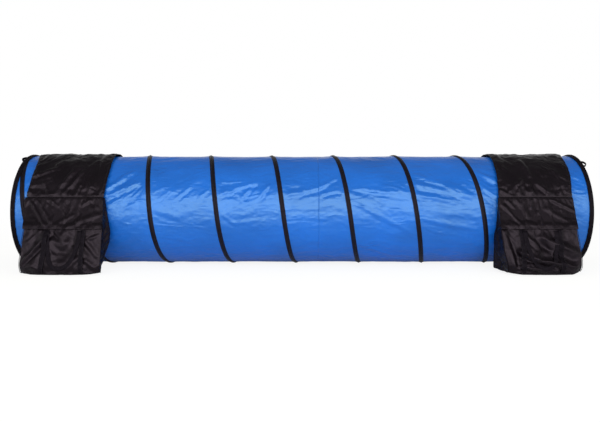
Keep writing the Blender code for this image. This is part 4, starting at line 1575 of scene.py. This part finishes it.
def on_cloth(tree, along, height, fallback):
    """How far out the pouch's front is at a place."""
    hit, *_ = tree.ray_cast(Vector((along, 0.6, height)), Vector((0, -1, 0)))
    return fallback if hit is None or hit.y < fallback - 0.05 else hit.y


class TUNNEL_OT_webbing(bpy.types.Operator):
    """Make the pouches' straps, handles and closure tapes"""

    bl_idname = "tunnel.webbing"
    bl_label = "Straps, handles and closures"

    def execute(self, context):
        bags = context.scene.bag_sizes
        trees = {kind: surface_tree(kind) for kind in BAG_EDGES}
        for side, face in BAG_PLACES:
            kind = kind_of(side, face)
            prefix = f"{side}_{face}"
            offsets = (-1, 1) if (side == "right") == (face == "front") else (1, -1)
            for number, offset in enumerate(offsets, 1):
                self.strap(bags, trees[kind], kind, side, face, f"{prefix}_strap_{number}", offset)
            self.handle(bags, trees[kind], side, face, f"{prefix}_handle")
            self.closure(prefix, "hook_strip", "hook", f"{prefix}_pouch")
            self.closure(prefix, "loop_strip", "loop", f"{prefix}_flap")
        return {"FINISHED"}

    def strap(self, bags, tree, kind, side, face, node, offset):
        """Webbing sewn down the pouch's front; offset is -1 for the inner strap and 1 for the outer."""
        low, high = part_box(node)
        heights = np.linspace(high.z, low.z, 44)
        middle = abs(low.x + high.x) / 2
        slant_by = 0.018 * offset * (1 - heights / high.z) if kind == "wide" and offset > 0 else 0 * heights
        centre = middle - (0.010 if kind == "wide" and offset > 0 else 0.0) + slant_by
        half = bags.strap_width / 2
        outs = np.array([
            max(on_cloth(tree, s + k * half, z, line_value(FRONT_LINE, z)) for k in (-1, -0.5, 0, 0.5, 1))
            for s, z in zip(centre, heights)
        ])
        outs = np.convolve(np.pad(outs, 2, "edge"), np.ones(5) / 5, "valid")
        raised = np.maximum(outs, [on_cloth(tree, s, z, 0.3) for s, z in zip(centre, heights)])
        centres = np.stack([centre, raised + bags.strap_thickness / 2 + 0.0004, heights], -1)
        lean = np.gradient(centres, axis=0)
        outward = np.stack([0 * lean[:, 0], -lean[:, 2], lean[:, 1]], -1)
        outward /= np.linalg.norm(outward, axis=1, keepdims=True)
        widths = np.zeros_like(centres)
        widths[:, 0] = half
        strap = ribbon(f"{node}_webbing", placed(centres, side, face), placed(widths, side, face),
                       placed(outward, side, face), bags.strap_thickness, finish("webbing"))
        body = f"{side}_{face}_pouch"
        carried(strap, body, node)
        rows = [placed(centres + widths * k + outward * (bags.strap_thickness / 2 + 0.0002), side, face)
                for k in (-0.78, 0.78)]
        carried(stitched(f"{node}_stitches", rows), body)

    def handle(self, bags, tree, side, face, node):
        """A carrying handle: one band that hangs down in a U over the pouch's front."""
        low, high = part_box(node)
        middle, span = abs(low.x + high.x) / 2, (high.x - low.x - bags.handle_width) / 2
        top, foot = high.z, low.z + bags.handle_width / 2
        turn = np.linspace(0, math.pi, 61)
        drop = np.sin(turn)
        spread = span + 0.009 * (1 - drop)
        along = middle + spread * np.sign(np.cos(turn)) * np.abs(np.cos(turn)) ** 0.74 + 0.012 * drop ** 3
        heights = top - (top - foot) * drop ** 0.84
        share = (HANDLE_TOP[0] - heights) / (HANDLE_TOP[0] - HANDLE_FOOT[0])
        base = HANDLE_TOP[1] + (HANDLE_FOOT[1] - HANDLE_TOP[1]) * share
        clear = 0.0044
        outs = np.array([on_cloth(tree, s, z, 0.3) for s, z in zip(along, heights)]) + clear
        outs = np.maximum(base, outs)
        outs = np.convolve(np.pad(outs, 3, "edge"), np.ones(7) / 7, "valid")
        centres = np.stack([along, np.minimum(outs, HANDLE_REACH), heights], -1)
        tangent = np.gradient(centres, axis=0)
        tangent /= np.linalg.norm(tangent, axis=1, keepdims=True)
        facing = np.array([0.0, 0.966, 0.259])
        widths = np.cross(tangent, facing) * bags.handle_width / 2
        outward = np.cross(widths, tangent)
        outward /= np.linalg.norm(outward, axis=1, keepdims=True)
        outward *= np.sign((outward @ facing))[:, None]
        handle = ribbon(f"{node}_webbing", placed(centres, side, face), placed(widths, side, face),
                        placed(outward, side, face), 0.0022, finish("webbing"))
        carried(handle, node, node)

    def closure(self, prefix, part, finish_name, body):
        """A strip of hook or loop tape with a rounded rim."""
        node = frame["nodes"][f"{prefix}_{part}"]
        strip = node.copy()
        strip.data = node.data.copy()
        strip.name = f"{prefix}_{part}_tape"
        strip.parent = None
        for key in list(strip.keys()):
            del strip[key]
        bpy.context.scene.collection.objects.link(strip)
        bm = bmesh.new()
        bm.from_mesh(strip.data)
        bmesh.ops.remove_doubles(bm, verts=bm.verts, dist=1e-5)
        bmesh.ops.dissolve_limit(bm, angle_limit=0.02, verts=bm.verts, edges=bm.edges)
        bmesh.ops.bevel(bm, geom=bm.edges[:], offset=0.0005, segments=2, affect="EDGES", profile=0.5)
        layer = bm.loops.layers.uv.new("cloth")
        for one in bm.faces:
            for loop in one.loops:
                loop[layer].uv = (loop.vert.co.x, loop.vert.co.z + loop.vert.co.y)
        bm.to_mesh(strip.data)
        bm.free()
        strip.data.materials.clear()
        strip.data.materials.append(finish(finish_name))
        strip.data.shade_smooth()
        carried(strip, body, f"{prefix}_{part}")


class TUNNEL_OT_liners(bpy.types.Operator):
    """Make the sand-filled liners inside the pouches"""

    bl_idname = "tunnel.liners"
    bl_label = "Sand liners"

    def execute(self, context):
        for side, face in BAG_PLACES:
            node = f"{side}_{face}_sand_bag"
            body = f"{side}_{face}_pouch"
            kind = kind_of(side, face)
            low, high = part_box(node)
            rows, columns = 40, 96
            fall = np.linspace(-math.pi / 2, math.pi / 2, rows)
            turn = np.linspace(0, TURN, columns + 1)[:-1]
            grid_f, grid_t = np.meshgrid(fall, turn, indexing="ij")

            def rounded(value, power):
                return np.sign(value) * np.abs(value) ** power

            along = rounded(np.cos(grid_f), 0.35) * rounded(np.cos(grid_t), 0.35)
            out = rounded(np.cos(grid_f), 0.35) * rounded(np.sin(grid_t), 0.5)
            up = rounded(np.sin(grid_f), 0.45)
            height = (low.z + high.z) / 2 + up * (high.z - low.z) / 2
            sunk = 1 - 0.05 * np.maximum(0, creases(grid_t * 5, up * 4 + 20, 600))
            points = bag_point(kind, height, 0.56 - 0.29 * out * sunk, 0.88 * along * sunk)
            points[..., 2] += 0.002
            faces = grid_faces(rows, columns, wrap=True)
            places = corner_places(fall * 0.1, turn * 0.16, wrap=True)
            mesh = mesh_of(f"{side}_{face}_liner", placed(points.reshape(-1, 3), side, face), faces, places)
            liner = add_object(f"{side}_{face}_liner", mended(mesh, 2e-5), finish("sand_liner"))
            carried(liner, body, node)
        return {"FINISHED"}


# The stage

def seen_rays(tree):
    """Whether a ray comes from a mirror or glass, and whether it shows the stage at all."""
    path = tree.add("ShaderNodeLightPath").outputs
    mirrored = tree.maths("MAXIMUM", path["Is Glossy Ray"], path["Is Transmission Ray"])
    return mirrored, tree.maths("MAXIMUM", path["Is Camera Ray"], mirrored)


def diffuse(tree, red, green, blue):
    """A matt surface."""
    return tree.add("ShaderNodeBsdfDiffuse", {"Color": (red, green, blue, 1.0)}).outputs[0]


def glowing(tree, strength):
    """A white glow."""
    return tree.add("ShaderNodeEmission", {"Color": WHITE, "Strength": strength}).outputs[0]


def pale_floor():
    """A floor that the camera sees as white and that keeps soft shadows."""
    material, tree = new_material("pale_floor")
    mirrored, seen = seen_rays(tree)
    place = tree.add("ShaderNodeTexCoord").outputs["Object"]
    distance = tree.add("ShaderNodeVectorMath", {0: place}, operation="LENGTH").outputs["Value"]
    far = tree.ranged(distance, 1.9, 4.2)
    ahead = tree.add("ShaderNodeSeparateXYZ", {0: place}).outputs[1]
    bright = tree.ranged(ahead, -2.0, -0.7, 1.5, 0.04)
    plain = diffuse(tree, 0.90, 0.90, 0.91)
    lit, pale = diffuse(tree, 0.19, 0.19, 0.17), diffuse(tree, 0.86, 0.86, 0.87)
    straight = tree.add("ShaderNodeAddShader", {0: lit, 1: glowing(tree, 0.88)})
    reflected = tree.add("ShaderNodeAddShader", {0: pale, 1: glowing(tree, bright)})
    near = tree.add("ShaderNodeMixShader", {0: mirrored, 1: straight.outputs[0], 2: reflected.outputs[0]})
    view = tree.add("ShaderNodeMixShader", {0: far, 1: near.outputs[0], 2: glowing(tree, 1.0)})
    whole = tree.add("ShaderNodeMixShader", {0: seen, 1: plain, 2: view.outputs[0]})
    tree.add("ShaderNodeOutputMaterial", {"Surface": whole.outputs[0]})
    return material


def pale_world(strength):
    """A white backdrop that darkens overhead, and an even grey light."""
    world = bpy.data.worlds.new("pale_world")
    world.use_nodes = True
    tree = Tree(world.node_tree)
    _, seen = seen_rays(tree)
    light = tree.add("ShaderNodeBackground", {"Color": (0.96, 0.98, 1.0, 1.0), "Strength": strength})
    height = tree.add("ShaderNodeSeparateXYZ", {0: tree.add("ShaderNodeTexCoord").outputs["Generated"]})
    pale = tree.ranged(height.outputs[2], 0.28, 0.60, 1.0, 0.18)
    white = tree.add("ShaderNodeBackground", {"Color": WHITE, "Strength": pale})
    both = tree.add("ShaderNodeMixShader", {0: seen, 1: light.outputs[0], 2: white.outputs[0]})
    tree.add("ShaderNodeOutputWorld", {"Surface": both.outputs[0]})
    return world


def area_lamp(name, place, aim, size, power):
    """A soft rectangular lamp."""
    light = bpy.data.lights.new(name, "AREA")
    light.shape = "RECTANGLE"
    light.size, light.size_y = size
    light.energy = power
    lamp = bpy.data.objects.new(name, light)
    bpy.context.scene.collection.objects.link(lamp)
    lamp.location = place
    lamp.rotation_euler = (Vector(aim) - Vector(place)).to_track_quat("-Z", "Y").to_euler()


class TUNNEL_OT_stage(bpy.types.Operator):
    """Set the floor, the lamps, the backdrop and the camera"""

    bl_idname = "tunnel.stage"
    bl_label = "Stage"

    def execute(self, context):
        settings = context.scene.stage_settings
        scene = context.scene
        mesh = bpy.data.meshes.new("floor")
        bm = bmesh.new()
        bmesh.ops.create_grid(bm, x_segments=1, y_segments=1, size=40)
        bmesh.ops.translate(bm, vec=(0, 0, -0.0006), verts=bm.verts)
        bm.to_mesh(mesh)
        bm.free()
        add_object("floor", mesh, pale_floor())
        scene.world = pale_world(settings.fill)
        scene.view_settings.view_transform = "Standard"
        area_lamp("front_lamp", (0, -4.5, 1.70), (0, 0, 1.30), (6.8, 3.2), settings.key)
        area_lamp("top_lamp", (0.2, -0.4, 3.0), (0, 0, 0.3), (4.4, 2.6), settings.top)
        data = bpy.data.cameras.new("camera")
        data.lens = settings.lens
        data.sensor_width = 36.0
        data.shift_y = settings.rise
        camera = bpy.data.objects.new("camera", data)
        scene.collection.objects.link(camera)
        camera.location = (settings.camera_x, -settings.camera_back, settings.camera_height)
        camera.rotation_euler = (math.pi / 2, 0, 0)
        scene.camera = camera
        return {"FINISHED"}


class TUNNEL_PT_sidebar(bpy.types.Panel):
    """Lists what the tunnel is made of"""

    bl_idname = "TUNNEL_PT_sidebar"
    bl_label = "Dog agility tunnel"
    bl_space_type = "VIEW_3D"
    bl_region_type = "UI"
    bl_category = "Tunnel"

    def draw(self, context):
        for operator in OPERATORS:
            self.layout.operator(operator.bl_idname)
        for settings in SETTINGS:
            group = getattr(context.scene, settings)
            self.layout.label(text=settings.replace("_", " ").capitalize())
            for name in group.__annotations__:
                self.layout.prop(group, name)


OPERATORS = (
    TUNNEL_OT_sleeve, TUNNEL_OT_spiral, TUNNEL_OT_mouths, TUNNEL_OT_saddles, TUNNEL_OT_pouches,
    TUNNEL_OT_flaps, TUNNEL_OT_webbing, TUNNEL_OT_liners, TUNNEL_OT_stage,
)
SETTINGS = {
    "tunnel_sizes": TunnelSizes,
    "bag_sizes": BagSizes,
    "tunnel_colours": TunnelColours,
    "stage_settings": StageSettings,
}


def register():
    """Register the settings, operators and panel."""
    for name, group in SETTINGS.items():
        bpy.utils.register_class(group)
        setattr(bpy.types.Scene, name, bpy.props.PointerProperty(type=group))
    for operator in OPERATORS:
        bpy.utils.register_class(operator)
    bpy.utils.register_class(TUNNEL_PT_sidebar)


def unregister():
    """Take the settings, operators and panel away again."""
    bpy.utils.unregister_class(TUNNEL_PT_sidebar)
    for operator in reversed(OPERATORS):
        bpy.utils.unregister_class(operator)
    for name, group in SETTINGS.items():
        delattr(bpy.types.Scene, name)
        bpy.utils.unregister_class(group)


def main():
    """Build everything in order."""
    register()
    for operator in OPERATORS:
        group, name = operator.bl_idname.split(".")
        getattr(getattr(bpy.ops, group), name)()


if __name__ == "__main__":
    main()
